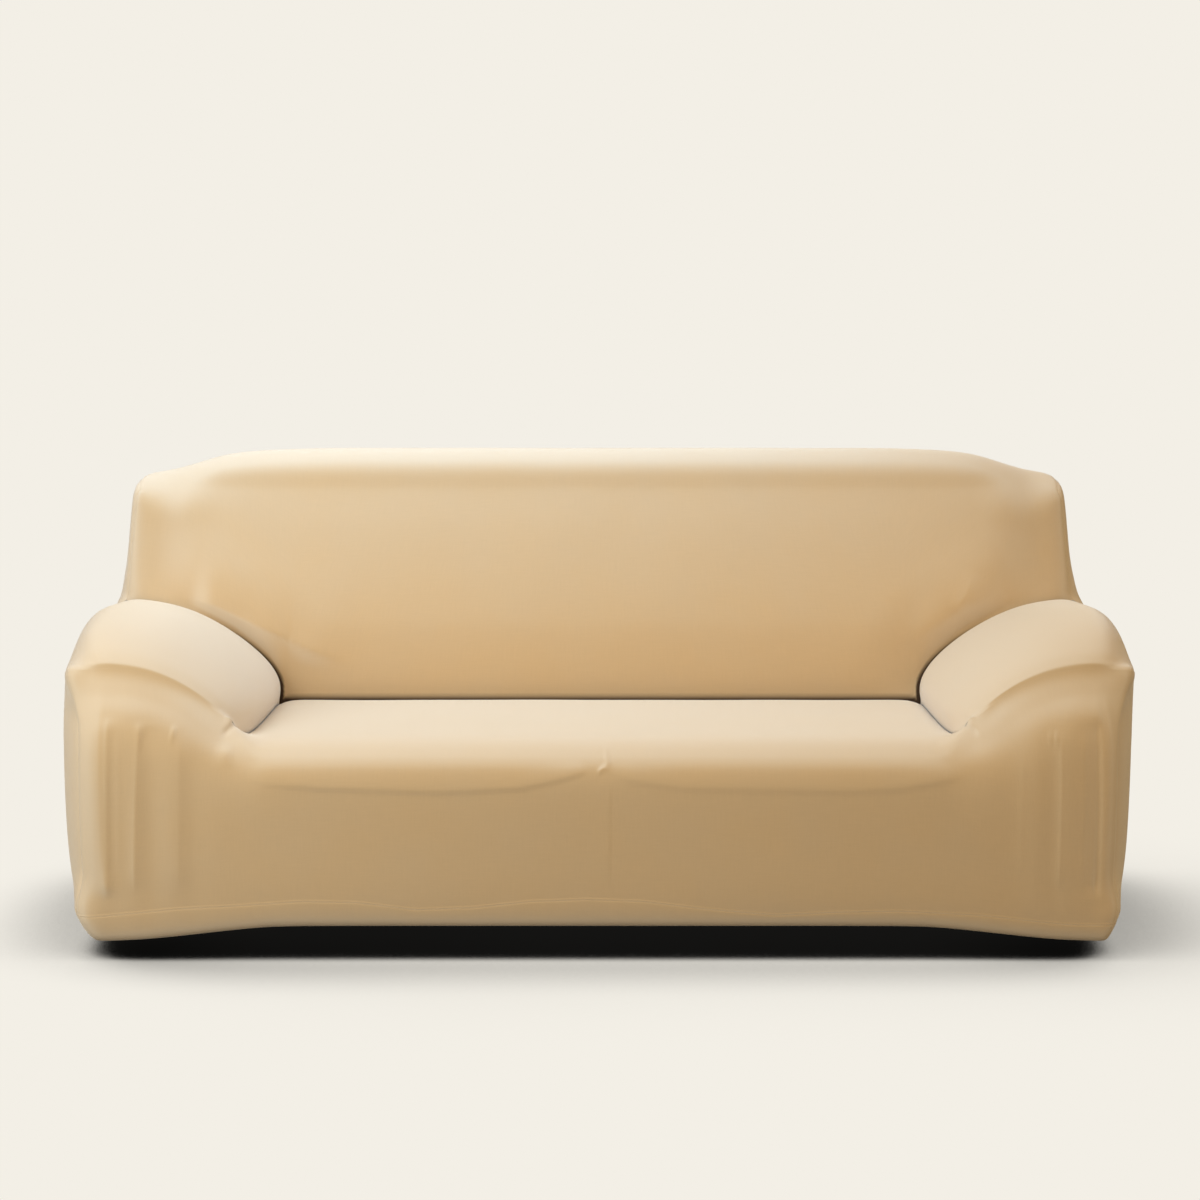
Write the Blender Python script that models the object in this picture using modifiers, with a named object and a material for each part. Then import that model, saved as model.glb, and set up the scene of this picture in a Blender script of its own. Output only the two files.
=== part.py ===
# A stretch slipcover for a three-seat sofa, as it hangs when it is pulled over its sofa.
# Metres, +Z up. The front faces -Y, the hem's lowest points are at z = 0.
# Seven cut panels share one smooth form: the form is a coarse cage that is subdivided once,
# cut along its seams, and each panel is given its thickness on the inner side.

import bmesh
import bpy
import numpy as np

CLOTH = 0.002  # thickness of the knit
SEAM_GAP = 0.0006  # from one panel's edge to the next
LEVELS = 1  # subdivisions of the cage
FIT = 0.5  # how far the smooth form is brought back onto the cage's own points
SEWN = 0.00001  # points of two cage grids closer than this are one
LEAST_SLANT = 0.04  # keeps an edge from being drawn back too far where it is bent sharply

FRONT = -0.440
REAR = 0.440
SEAT_TOP = 0.377
CREASE_BACK = 0.204  # how far back the seat runs into the crease
TUCK_DEEP = 0.026  # how far the seat crease is pushed in
BACK_STEP = 0.008  # from the bottom of the seat crease back to the back's face
ARM_TUCK_STEP = 0.006  # from the back's face forward to the bottom of the arm's crease
BACK_TOP = 0.878
BACK_LEAN = 0.236  # rearward set of the back's face for each metre of height
# The back's face steps rearward twice: at the cushion's edge, and where the wing rounds to its side.
CUSHION_EDGE = dict(start=0.825, end=0.905, back=0.020)
WING_EDGE = dict(start=0.925, end=0.990, back=0.022)
HEM_ARCH = 0.028  # the hem is this much higher at the middle of the front
HEM_FLAT = 0.560  # half the length that is arched evenly
HEM_LOW = 0.930  # where the hem is lowest

# The arm's front between the skirt and the ridge: heights over the tuck, and how they rise with it.
ARM_FRONT = dict(lean_z=0.310, lean_rise=0.78, lean_in=0.004, brow_z=0.365, brow_rise=0.88,
                 brow_least=0.45, brow_more=0.32)
# The outer front corner: how far it is set back, and how far its hem is drawn in and up.
CORNER_BACK = 0.016
CORNER_DRAWN = {"turned": (0.075, 0.008), "edge": (0.048, 0.010), "low": (0.018, 0.022)}

# Rows of the skirt, from the turned-in hem up. set_in is measured from the front, height from the
# hem for the first three and from the hem's lowest point for the others.
SKIRT = {
    "turned": dict(set_in=0.055, height=0.014),
    "edge": dict(set_in=0.020, height=0.000),
    "low": dict(set_in=0.004, height=0.036),
    "belly": dict(set_in=0.000, height=0.150),
    "lean": dict(set_in=0.000, height=0.275),
    "brow": dict(set_in=0.008, height=0.338),
}
SKIRT_ROWS = list(SKIRT)

# Rows of the seat, from the front roll to the bottom of the rear crease.
SEAT = {
    "rim": dict(y=-0.395, z=SEAT_TOP - 0.006),
    "roll": dict(y=-0.340, z=SEAT_TOP + 0.002),
    "front": dict(y=-0.270, z=SEAT_TOP + 0.002),
    "lap": dict(y=-0.160, z=SEAT_TOP + 0.001),
    "middle": dict(y=-0.030, z=SEAT_TOP),
    "hollow": dict(y=0.090, z=SEAT_TOP - 0.001),
    "crease": dict(y=0.180, z=SEAT_TOP - 0.005),
    "tuck": dict(y=CREASE_BACK, z=SEAT_TOP - TUCK_DEEP),
}
LENGTH_ROWS = list(SEAT)

# Rows of an arm, over the same steps. rise and reach run from 0 on the front ridge to 1 on the full
# section, crest is how far the pad stands over it, seam_ the seam along the outer side, tuck_ the
# bottom of the crease between arm and seat. The last row's y is measured from the back's face, and
# the first row is the ridge itself.
ARM_ROWS = {
    "rim": dict(y=None, rise=0.00, reach=0.00, crest=0.000, seam_x=1.010, seam_y=-0.325,
                seam_z=0.508, tuck_x=0.692, tuck_y=-0.345, tuck_z=0.408),
    "roll": dict(y=-0.340, rise=0.15, reach=0.10, crest=0.001, seam_x=1.021, seam_y=-0.280,
                 seam_z=0.501, tuck_x=0.688, tuck_y=-0.312, tuck_z=0.384),
    "front": dict(y=-0.293, rise=0.45, reach=0.40, crest=0.007, seam_x=1.030, seam_y=-0.215,
                  seam_z=0.494, tuck_x=0.678, tuck_y=-0.260, tuck_z=0.368),
    "lap": dict(y=-0.205, rise=0.82, reach=0.75, crest=0.016, seam_x=1.036, seam_y=-0.130,
                seam_z=0.488, tuck_x=0.670, tuck_y=-0.160, tuck_z=0.365),
    "middle": dict(y=-0.055, rise=1.00, reach=0.95, crest=0.020, seam_x=1.038, seam_y=-0.015,
                   seam_z=0.483, tuck_x=0.666, tuck_y=-0.030, tuck_z=0.364),
    "hollow": dict(y=0.090, rise=1.00, reach=1.00, crest=0.012, seam_x=1.038, seam_y=0.100,
                   seam_z=0.478, tuck_x=0.665, tuck_y=0.090, tuck_z=0.362),
    "crease": dict(y=-0.020, rise=1.00, reach=1.00, crest=0.000, seam_x=1.038, seam_y=0.205,
                   seam_z=0.474, tuck_x=0.664, tuck_y=0.176, tuck_z=0.360),
}

# Columns of an arm, from the crease at the seat to the seam down the outer side. front is where
# the column stands on the arm's front, ridge_ the ridge under the pad's front roll, pad_ the full
# section, deep how far the crease at the back is pushed in there, top_ the column's place on the
# top of the back.
ARM_COLUMNS = {
    "tuck": dict(front=0.692, ridge_x=0.692, ridge_y=-0.345, ridge_z=0.408, pad_x=0.663,
                 pad_z=0.350, crest=0.0, deep=0.000, top_x=0.610, top_z=0.877),
    "crease": dict(front=0.728, ridge_x=0.706, ridge_y=-0.346, ridge_z=0.421, pad_x=0.654,
                   pad_z=0.402, crest=0.1, deep=0.018, top_x=0.668, top_z=0.875),
    "inner": dict(front=0.765, ridge_x=0.737, ridge_y=-0.348, ridge_z=0.449, pad_x=0.684,
                  pad_z=0.453, crest=0.2, deep=0.024, top_x=0.732, top_z=0.872),
    "slope": dict(front=0.803, ridge_x=0.785, ridge_y=-0.351, ridge_z=0.482, pad_x=0.757,
                  pad_z=0.511, crest=0.5, deep=0.026, top_x=0.795, top_z=0.864),
    "shoulder": dict(front=0.845, ridge_x=0.842, ridge_y=-0.354, ridge_z=0.506, pad_x=0.848,
                     pad_z=0.556, crest=0.9, deep=0.022, top_x=0.850, top_z=0.846),
    "crown": dict(front=0.893, ridge_x=0.900, ridge_y=-0.354, ridge_z=0.517, pad_x=0.930,
                  pad_z=0.569, crest=1.0, deep=0.010, top_x=0.905, top_z=0.830),
    "wing": dict(front=0.938, ridge_x=0.952, ridge_y=-0.350, ridge_z=0.517, pad_x=0.988,
                 pad_z=0.567, crest=1.0, deep=0.000, top_x=0.957, top_z=0.822),
    "edge": dict(front=0.978, ridge_x=0.988, ridge_y=-0.341, ridge_z=0.513, pad_x=1.028,
                 pad_z=0.530, crest=0.8, deep=0.000, top_x=None, top_z=None),
    "seam": dict(front=1.008, ridge_x=1.010, ridge_y=-0.325, ridge_z=0.508, pad_x=1.038,
                 pad_z=0.470, crest=0.0, deep=0.000, top_x=None, top_z=None),
}
COLUMNS = list(ARM_COLUMNS)
# The pad's outer edge goes this share of the way to the seam, and the inner crease's column to the tuck.
EDGE_TO_SEAM = dict(y=0.55, z=0.25)
CREASE_TO_TUCK = 0.5
RIDGE_LOW = 0.41  # above this the seam between the front and the arm is a ridge, below it a crease
TO_WING = COLUMNS[: COLUMNS.index("wing") + 1]

# Upright folds on each arm's front: where the column stands, and how far it is proud of the front.
ARM_FOLDS = {
    "left": {
        "crease": dict(at=0.728, proud=0.000), "inner": dict(at=0.762, proud=-0.002),
        "slope": dict(at=0.797, proud=0.003), "shoulder": dict(at=0.838, proud=-0.003),
        "crown": dict(at=0.870, proud=0.003), "wing": dict(at=0.917, proud=-0.004),
        "edge": dict(at=0.948, proud=0.003),
    },
    "right": {
        "crease": dict(at=0.735, proud=0.000), "inner": dict(at=0.782, proud=-0.002),
        "slope": dict(at=0.815, proud=0.003), "shoulder": dict(at=0.850, proud=-0.002),
        "crown": dict(at=0.876, proud=0.003), "wing": dict(at=0.928, proud=-0.004),
        "edge": dict(at=0.958, proud=0.003),
    },
}

# The two sides hang a little differently: how far each wing and each side's skirt stands out, and
# the heights and widths between which that sets in.
UNEVEN = {"left": dict(wing_out=0.011, skirt_out=0.001), "right": dict(wing_out=0.005, skirt_out=-0.009)}
WING_ZONE = dict(z=(0.54, 0.62), x=(0.80, 0.95))
SKIRT_ZONE = dict(z=(0.36, 0.50), x=(0.90, 1.00))

# Columns of the seat between the creases, from the crease to the centre line: where each stands on
# the front, where it meets the back, and where it crosses the top of the back.
SEAT_COLUMNS = {
    "beside": dict(front=0.640, rear=0.634, top=0.545),
    "shore": dict(front=0.575, rear=0.570, top=0.460),
    "cushion": dict(front=0.310, rear=0.305, top=0.250),
    "centre": dict(front=0.000, rear=0.000, top=0.000),
}

# Rows of the inside back, from the bottom of the crease over the top to the rear seam. up is the
# share of the way from the crease to the top's front edge.
BACK = {
    "tuck": dict(up=None),
    "crease": dict(up=0.00),
    "low": dict(up=0.24),
    "half": dict(up=0.50),
    "high": dict(up=0.76),
    "front": dict(up=1.00),
    "top": dict(up=None),
    "rear": dict(up=None),
}
BACK_ROWS = list(BACK)
CORNER_X = 0.648  # where the back's crease with the seat meets its crease with the arm
CORNER_Z = 0.390
# How far the tension folds stand forward over the corners beside the arms.
BACK_FOLD = {"crease": 0.003, "inner": 0.009, "slope": 0.008}
TOP_ROLL = 0.072  # drop from the top to its front edge
TOP_DEPTH = 0.055  # from that edge back to the top
REAR_DROP = 0.012  # drop from the top to the rear seam
REAR_SEAM = 0.425
CROWN_LIFT = 0.008  # the back's crease at the crown is this much above the pad
# The wing: its outer seam at the top's front edge, that edge's drop, and its place on the top.
WING = dict(x=0.968, y=0.338, drop=0.020, top_y=0.385, rear_in=0.006, rear_ahead=0.012)

# The seam down each outer rear side, from hem to wing, and the two columns behind it. The rows
# below the pad are the skirt's.
REAR_SIDE = {
    "turned": dict(seam=(0.962, 0.262, 0.024), strip=(0.962, 0.345), corner=(0.945, 0.388)),
    "edge": dict(seam=(0.986, 0.262, 0.012), strip=(0.985, 0.354), corner=(0.964, 0.410)),
    "low": dict(seam=(1.008, 0.264, 0.045), strip=(1.006, 0.358), corner=(0.986, 0.424)),
    "belly": dict(seam=(1.024, 0.268, 0.155), strip=(1.020, 0.362), corner=(0.998, 0.429)),
    "lean": dict(seam=(1.033, 0.274, 0.285), strip=(1.028, 0.364), corner=(1.004, 0.430)),
    "brow": dict(seam=(1.037, 0.280, 0.390), strip=(1.032, 0.366), corner=(1.006, 0.430)),
    "rim": dict(seam=(1.038, 0.284, 0.470), strip=(1.034, 0.368), corner=(1.004, 0.430)),
    "edge_up": dict(seam=(1.028, 0.287, 0.530), strip=(1.031, 0.369), corner=(0.999, 0.430)),
    "crease": dict(seam=(0.990, 0.292, 0.564), strip=(1.015, 0.370), corner=(0.992, 0.430)),
    "crease_up": dict(seam=(0.983, 0.296, 0.592), strip=(1.003, 0.371), corner=(0.985, 0.430)),
}
FLARE = 0.007  # how far the strip stands out from the wing's seam above the arm
STRIP_Y = 0.371
REAR_CORNER = dict(x=0.985, y=0.428)
REAR_HEM_IN = (0.050, 0.018, 0.005)  # how far the rear's lowest three rows are set in
REAR_LEAN = 0.003
SIDE_BULGE = 5  # how soon the outer side reaches its full width behind the front corner


def blend(start, end, share):
    return start + (end - start) * share


def smooth_step(value, start, end):
    share = min(max((value - start) / (end - start), 0.0), 1.0)
    return share * share * (3.0 - 2.0 * share)


def hem_height(x):
    return HEM_ARCH * (1.0 - smooth_step(abs(x), HEM_FLAT, HEM_LOW))


def back_face(x, z):
    """How far back the inside back's face stands at this width and height."""
    turn = 0.0
    for edge in (CUSHION_EDGE, WING_EDGE):
        turn += edge["back"] * smooth_step(abs(x), edge["start"], edge["end"])
    return CREASE_BACK + BACK_STEP + BACK_LEAN * (z - SEAT_TOP) + turn


def skirt_point(row, x, proud):
    """A point of the front below the rim, on the column that stands at x."""
    size = SKIRT[row]
    hem = hem_height(x)
    height = size["height"]
    if row in ("turned", "edge", "low"):
        return np.array((x, FRONT + size["set_in"], hem + height))
    return np.array((x, FRONT + size["set_in"] - proud, height))


def seat_column(name):
    """The column from the hem up the front and back over the seat to the crease."""
    column = SEAT_COLUMNS[name]
    points = [skirt_point(row, column["front"], 0.0) for row in SKIRT_ROWS]
    for row in LENGTH_ROWS:
        size = SEAT[row]
        share = (size["y"] - SEAT["rim"]["y"]) / (CREASE_BACK - SEAT["rim"]["y"])
        points.append(np.array((blend(column["front"], column["rear"], share), size["y"], size["z"])))
    return points


def arm_front_column(name, side):
    """The column from the hem up the arm's front to just under the ridge."""
    column = ARM_COLUMNS[name]
    fold = ARM_FOLDS[side].get(name, dict(at=column["front"], proud=0.0))
    x = fold["at"]
    rise = column["ridge_z"] - ARM_COLUMNS["tuck"]["ridge_z"]
    out = smooth_step(x, ARM_COLUMNS["tuck"]["front"], ARM_COLUMNS["shoulder"]["front"])
    corner = smooth_step(x, ARM_FOLDS[side]["edge"]["at"], ARM_COLUMNS["seam"]["front"])
    points = []
    for row in SKIRT_ROWS:
        point = skirt_point(row, x, fold["proud"] if row in ("belly", "lean") else 0.0)
        drawn_in, drawn_up = CORNER_DRAWN.get(row, (0.0, 0.0))
        point += np.array((-drawn_in, CORNER_BACK, drawn_up)) * corner
        if row == "lean":
            point[2] = ARM_FRONT["lean_z"] + ARM_FRONT["lean_rise"] * rise
            point[1] += ARM_FRONT["lean_in"] * out
        if row == "brow":
            share = ARM_FRONT["brow_least"] + ARM_FRONT["brow_more"] * out
            point[2] = ARM_FRONT["brow_z"] + ARM_FRONT["brow_rise"] * rise
            point[1] = blend(FRONT, column["ridge_y"], share)
            point[0] = blend(x, column["ridge_x"], share)
        points.append(point)
    return points


def arm_point(row, name):
    """A point of the arm's pad, from its ridge to the crease at the back."""
    column = ARM_COLUMNS[name]
    size = ARM_ROWS[row]
    if name == "tuck":
        return np.array((size["tuck_x"], size["tuck_y"], size["tuck_z"]))
    if name == "seam":
        return np.array((size["seam_x"], size["seam_y"], size["seam_z"]))
    if row == "rim":
        return np.array((column["ridge_x"], column["ridge_y"], column["ridge_z"]))
    x = blend(column["ridge_x"], column["pad_x"], size["reach"])
    z = blend(column["ridge_z"], column["pad_z"], size["rise"]) + size["crest"] * column["crest"]
    y = size["y"]
    if row == "crease":
        y += back_face(column["pad_x"], column["pad_z"])
    if name == "edge":
        y = blend(y, size["seam_y"], EDGE_TO_SEAM["y"])
        z = blend(z, size["seam_z"], EDGE_TO_SEAM["z"] * (1.0 - size["reach"]))
    if name == "crease":
        y = blend(y, size["tuck_y"], CREASE_TO_TUCK)
        z = blend(column["ridge_z"], column["pad_z"], size["reach"])
    return np.array((x, y, z))


def arm_tuck_point(name):
    """A point at the bottom of the crease between the arm and the back."""
    column = ARM_COLUMNS[name]
    if name == "tuck":
        return np.array((column["pad_x"], CREASE_BACK, column["pad_z"]))
    if name == "seam":
        return np.array(REAR_SIDE["rim"]["seam"])
    if name == "edge":
        return np.array(REAR_SIDE["edge_up"]["seam"])
    if name == "wing":
        return np.array(REAR_SIDE["crease"]["seam"])
    spot = COLUMNS.index(name)
    before = ARM_COLUMNS[COLUMNS[spot - 1]]
    after = ARM_COLUMNS[COLUMNS[spot + 1]]
    along = np.array((after["pad_x"] - before["pad_x"], after["pad_z"] - before["pad_z"]))
    along /= np.linalg.norm(along)
    x = column["pad_x"] + along[1] * column["deep"]
    z = column["pad_z"] - along[0] * column["deep"]
    return np.array((x, back_face(column["pad_x"], column["pad_z"]) - ARM_TUCK_STEP, z))


def back_column(name, tuck, x_low, z_low, x_top, z_top):
    """The column of the inside back from the crease over the top."""
    points = [tuck]
    z_front = z_top - TOP_ROLL
    for row in BACK_ROWS[1:-2]:
        up = BACK[row]["up"]
        x = blend(x_low, x_top, up)
        z = blend(z_low, z_front, up)
        proud = BACK_FOLD.get(name, 0.0) if row == "low" else 0.0
        points.append(np.array((x, back_face(x, z) - proud, z)))
    y_front = points[-1][1]
    wing = smooth_step(x_top, ARM_COLUMNS["crown"]["top_x"], ARM_COLUMNS["wing"]["top_x"])
    top_y = blend(y_front + TOP_DEPTH, WING["top_y"], wing)
    points.append(np.array((x_top, top_y, z_top)))
    rear_y = REAR_SEAM - WING["rear_ahead"] * wing
    points.append(np.array((x_top - WING["rear_in"] * wing, rear_y, z_top - REAR_DROP)))
    return points


def arm_back_column(name):
    column = ARM_COLUMNS[name]
    x_low = column["pad_x"]
    z_low = column["pad_z"]
    if name == "tuck":
        x_low = CORNER_X
        z_low = CORNER_Z
    points = back_column(name, arm_tuck_point(name), x_low, z_low, column["top_x"], column["top_z"])
    if name == "crown":
        points[1][2] += CROWN_LIFT
    if name == "wing":
        low = np.array(REAR_SIDE["crease_up"]["seam"])
        high = np.array((WING["x"], WING["y"], column["top_z"] - WING["drop"]))
        for spot, row in enumerate(BACK_ROWS[1:-2], start=1):
            points[spot] = blend(low, high, BACK[row]["up"])
    return points


def rear_side_columns():
    """The three upright columns at the outer rear: the seam, the strip beside it and the corner."""
    wing = arm_back_column("wing")
    seam = [np.array(REAR_SIDE[row]["seam"]) for row in REAR_SIDE]
    strip = [np.array((*REAR_SIDE[row]["strip"], REAR_SIDE[row]["seam"][2])) for row in REAR_SIDE]
    corner = [np.array((*REAR_SIDE[row]["corner"], REAR_SIDE[row]["seam"][2])) for row in REAR_SIDE]
    seam[-1] = wing[1]
    above = wing[2 : BACK_ROWS.index("front") + 1]
    level = seam[-1][2]
    for spot, point in enumerate(above[:-1], start=1):
        share = spot / len(above)
        x = point[0] + FLARE * (1.0 - share)
        y = blend(STRIP_Y, wing[-2][1], share)
        strip.append(np.array((x, y, blend(level, wing[-2][2], share))))
        x = blend(REAR_CORNER["x"], wing[-1][0], share)
        corner.append(np.array((x, REAR_CORNER["y"], blend(level, wing[-1][2], share))))
    seam += above
    strip.append(wing[-2])
    corner.append(wing[-1])
    return seam, strip, corner


def rear_column(x_hem, top, corner):
    """A column of the rear, from the turned-in hem up to the seam along the top."""
    points = []
    last = len(corner) - 1
    level = len(REAR_SIDE) - 1  # up to this row all columns have the corner's heights
    for spot, at in enumerate(corner):
        share = spot / last
        x = blend(x_hem, top[0], share)
        y = REAR - REAR_LEAN * share
        if spot < len(REAR_HEM_IN):
            y -= REAR_HEM_IN[spot]
        z = at[2]
        if spot > level:
            z = blend(corner[level][2], top[2], (spot - level) / (last - level))
        points.append(np.array((x, y, z)))
    points[-1] = top
    return points


def side_rows():
    """The outer side between the front corner and the rear side's seam, row by row from the hem."""
    front = arm_front_column("seam", "right") + [arm_point("rim", "seam")]
    rear = [np.array(REAR_SIDE[row]["seam"]) for row in SKIRT_ROWS + ["rim"]]
    top = [arm_point(row, "seam") for row in LENGTH_ROWS[:-1]] + [arm_tuck_point("seam")]
    rows = []
    for up in range(len(SKIRT_ROWS)):
        points = [front[up]]
        rise = up / len(SKIRT_ROWS)
        for spot in range(1, len(top) - 1):
            share = spot / (len(top) - 1)
            x = blend(front[up][0], rear[up][0], 1.0 - (1.0 - share) ** SIDE_BULGE)
            y = blend(blend(front[up][1], rear[up][1], share), top[spot][1], rise**2)
            z = blend(front[up][2], rear[up][2], share)
            points.append(np.array((x, y, z)))
        points.append(rear[up])
        rows.append(points)
    rows.append(top)
    return rows


def settled(point):
    """The point with the unevenness of the two sides."""
    side = UNEVEN["left" if point[0] < 0.0 else "right"]
    wide = abs(point[0])
    wing = side["wing_out"] * smooth_step(point[2], *WING_ZONE["z"]) * smooth_step(wide, *WING_ZONE["x"])
    low = 1.0 - smooth_step(point[2], *SKIRT_ZONE["z"])
    skirt = side["skirt_out"] * low * smooth_step(wide, *SKIRT_ZONE["x"])
    return point + np.array((np.sign(point[0]) * (wing + skirt), 0.0, 0.0))


def mirrored(points):
    return [point * np.array((-1.0, 1.0, 1.0)) for point in points]


def form_grids():
    """The cage's grids: panel name and rows of points, left to right, seen from outside."""
    seat_right = [seat_column(name) for name in reversed(SEAT_COLUMNS)]
    crease_column = arm_front_column("tuck", "right")
    crease_column += [arm_point(row, "tuck") for row in LENGTH_ROWS[:-1]] + [arm_tuck_point("tuck")]
    middle = [mirrored(c) for c in [crease_column] + seat_right[:0:-1]] + seat_right + [crease_column]

    grids = []
    skirts = {}
    pads = {}
    for side in ("left", "right"):
        skirts[side] = [arm_front_column(name, side) + [arm_point("rim", name)] for name in COLUMNS[1:]]
        pads[side] = [
            [arm_point(row, name) for row in LENGTH_ROWS[:-1]] + [arm_tuck_point(name)] for name in COLUMNS
        ]
    skirt_count = len(SKIRT_ROWS) + 1
    front = [mirrored(column) for column in reversed(skirts["left"])]
    front += [column[:skirt_count] for column in middle] + skirts["right"]
    grids.append(("seat_front", front))
    grids.append(("seat_front", [column[skirt_count - 1 :] for column in middle]))
    grids.append(("arm_left", [mirrored(column) for column in reversed(pads["left"])]))
    grids.append(("arm_right", pads["right"]))

    back_right = [
        back_column(name, column[-1], column[-1][0], CORNER_Z, SEAT_COLUMNS[name]["top"], BACK_TOP)
        for name, column in zip(reversed(SEAT_COLUMNS), seat_right)
    ]
    back_right += [arm_back_column(name) for name in TO_WING]
    back = [mirrored(column) for column in back_right[:0:-1]] + back_right
    grids.append(("inside_back", back))

    rows = side_rows()
    side = [[row[spot] for row in rows] for spot in range(len(rows[0]))]
    left_side = [list(column) for column in side]
    left_side[0] = arm_front_column("seam", "left") + [arm_point("rim", "seam")]
    grids.append(("side_right", side))
    grids.append(("side_left", [mirrored(column) for column in reversed(left_side)]))

    seam, strip, corner = rear_side_columns()
    grids.append(("outside_back", [seam, strip, corner]))
    grids.append(("outside_back", [mirrored(column) for column in (corner, strip, seam)]))
    hems = np.linspace(0.0, corner[0][0], len(back_right))
    rear_right = [rear_column(x, column[-1], corner) for x, column in zip(hems, back_right)]
    rear_right[-1] = corner
    rear = rear_right[:0:-1] + [mirrored(column) for column in rear_right]
    grids.append(("outside_back", rear))
    return grids


PANELS = {
    "seat_front": (0.78, 0.62, 0.42, 1.0),
    "arm_left": (0.80, 0.65, 0.46, 1.0),
    "arm_right": (0.76, 0.60, 0.41, 1.0),
    "inside_back": (0.79, 0.63, 0.43, 1.0),
    "outside_back": (0.74, 0.58, 0.39, 1.0),
    "side_left": (0.77, 0.61, 0.42, 1.0),
    "side_right": (0.73, 0.57, 0.38, 1.0),
}


def add_grid(bm, panel, columns):
    """A grid of unit size whose points are moved onto the columns of the cage."""
    wide = len(columns) - 1
    high = len(columns[0]) - 1
    made = bmesh.ops.create_grid(bm, x_segments=wide, y_segments=high, size=0.5)
    for vert in made["verts"]:
        across = round((vert.co.x + 0.5) * wide)
        up = round((vert.co.y + 0.5) * high)
        vert.co = settled(columns[across][up])
    for face in {face for vert in made["verts"] for face in vert.link_faces}:
        face.material_index = list(PANELS).index(panel)


def make_cage():
    bm = bmesh.new()
    for panel, columns in form_grids():
        add_grid(bm, panel, columns)
    bmesh.ops.remove_doubles(bm, verts=bm.verts, dist=SEWN)
    crease = bm.edges.layers.float.new("crease_edge")
    for edge in bm.edges:
        names = {list(PANELS)[face.material_index] for face in edge.link_faces}
        arm = names & {"arm_left", "arm_right"}
        meets_back = "inside_back" in names and (arm or "seat_front" in names)
        meets_seat = "seat_front" in names and arm and min(v.co.z for v in edge.verts) <= RIDGE_LOW
        if meets_back or meets_seat:
            edge[crease] = 1.0
    mesh = bpy.data.meshes.new("form")
    bm.to_mesh(mesh)
    bm.free()
    cage = bpy.data.objects.new("form", mesh)
    bpy.context.scene.collection.objects.link(cage)
    smooth = cage.modifiers.new("Smooth", "SUBSURF")
    smooth.levels = LEVELS
    smooth.render_levels = LEVELS
    return cage


def evaluated_mesh(obj):
    return bpy.data.meshes.new_from_object(obj.evaluated_get(bpy.context.evaluated_depsgraph_get()))


def smooth_form(cage):
    """The cage's smooth form, which shrinks from the cage, brought part of the way back onto it."""
    first = evaluated_mesh(cage)
    for vert in cage.data.vertices:
        vert.co += FIT * (vert.co - first.vertices[vert.index].co)
    bpy.data.meshes.remove(first)
    cage.data.update()
    bpy.context.view_layer.update()
    return evaluated_mesh(cage)


def cloth_material(name):
    material = bpy.data.materials.new(name + "_knit")
    material.use_nodes = True
    shader = material.node_tree.nodes["Principled BSDF"]
    shader.inputs["Base Color"].default_value = PANELS[name]
    shader.inputs["Roughness"].default_value = 0.85
    shader.inputs["Metallic"].default_value = 0.0
    return material


def inward_step(vert):
    """How far a point on a panel's edge is drawn back, so that it clears the next panel's edge."""
    inner = [edge.other_vert(vert).co for edge in vert.link_edges if not edge.is_boundary]
    if not inner:
        inner = [vert.link_faces[0].calc_center_median()]
    inward = sum((co - vert.co for co in inner), vert.co * 0.0).normalized()
    across = max(1.0 - inward.dot(vert.normal) ** 2, LEAST_SLANT) ** 0.5
    return inward * SEAM_GAP / 2.0 / across


def cut_panel(form, name, collection):
    """One panel out of the smooth form, drawn back a little at its seams, with its thickness."""
    bm = bmesh.new()
    bm.from_mesh(form)
    bm.normal_update()
    outward = {vert: vert.normal.copy() for vert in bm.verts}
    spot = list(PANELS).index(name)
    others = [face for face in bm.faces if face.material_index != spot]
    bmesh.ops.delete(bm, geom=others, context="FACES")
    for vert in bm.verts:
        vert.normal = outward[vert]
    steps = {vert: inward_step(vert) for vert in bm.verts if vert.is_boundary}
    for vert, step in steps.items():
        vert.co += step
    walls = {vert: vert.co - outward[vert] * CLOTH for vert in bm.verts}
    outside = list(bm.verts)
    grown = bmesh.ops.extrude_face_region(bm, geom=bm.faces[:], use_keep_orig=True)
    inside = [item for item in grown["geom"] if isinstance(item, bmesh.types.BMVert)]
    places = {tuple(vert.co): walls[vert] for vert in outside}
    for vert in inside:
        vert.co = places[tuple(vert.co)]
    bmesh.ops.recalc_face_normals(bm, faces=bm.faces)
    for face in bm.faces:
        face.material_index = 0
        face.smooth = True
    mesh = bpy.data.meshes.new(name)
    bm.to_mesh(mesh)
    bm.free()
    mesh.materials.append(cloth_material(name))
    panel = bpy.data.objects.new(name, mesh)
    collection.objects.link(panel)


def main():
    for obj in list(bpy.data.objects):
        bpy.data.objects.remove(obj, do_unlink=True)
    collection = bpy.data.collections.new("sofa_slipcover")
    bpy.context.scene.collection.children.link(collection)
    cage = make_cage()
    form = smooth_form(cage)
    for name in PANELS:
        cut_panel(form, name, collection)
    bpy.data.objects.remove(cage, do_unlink=True)


main()
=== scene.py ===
import math

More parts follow.
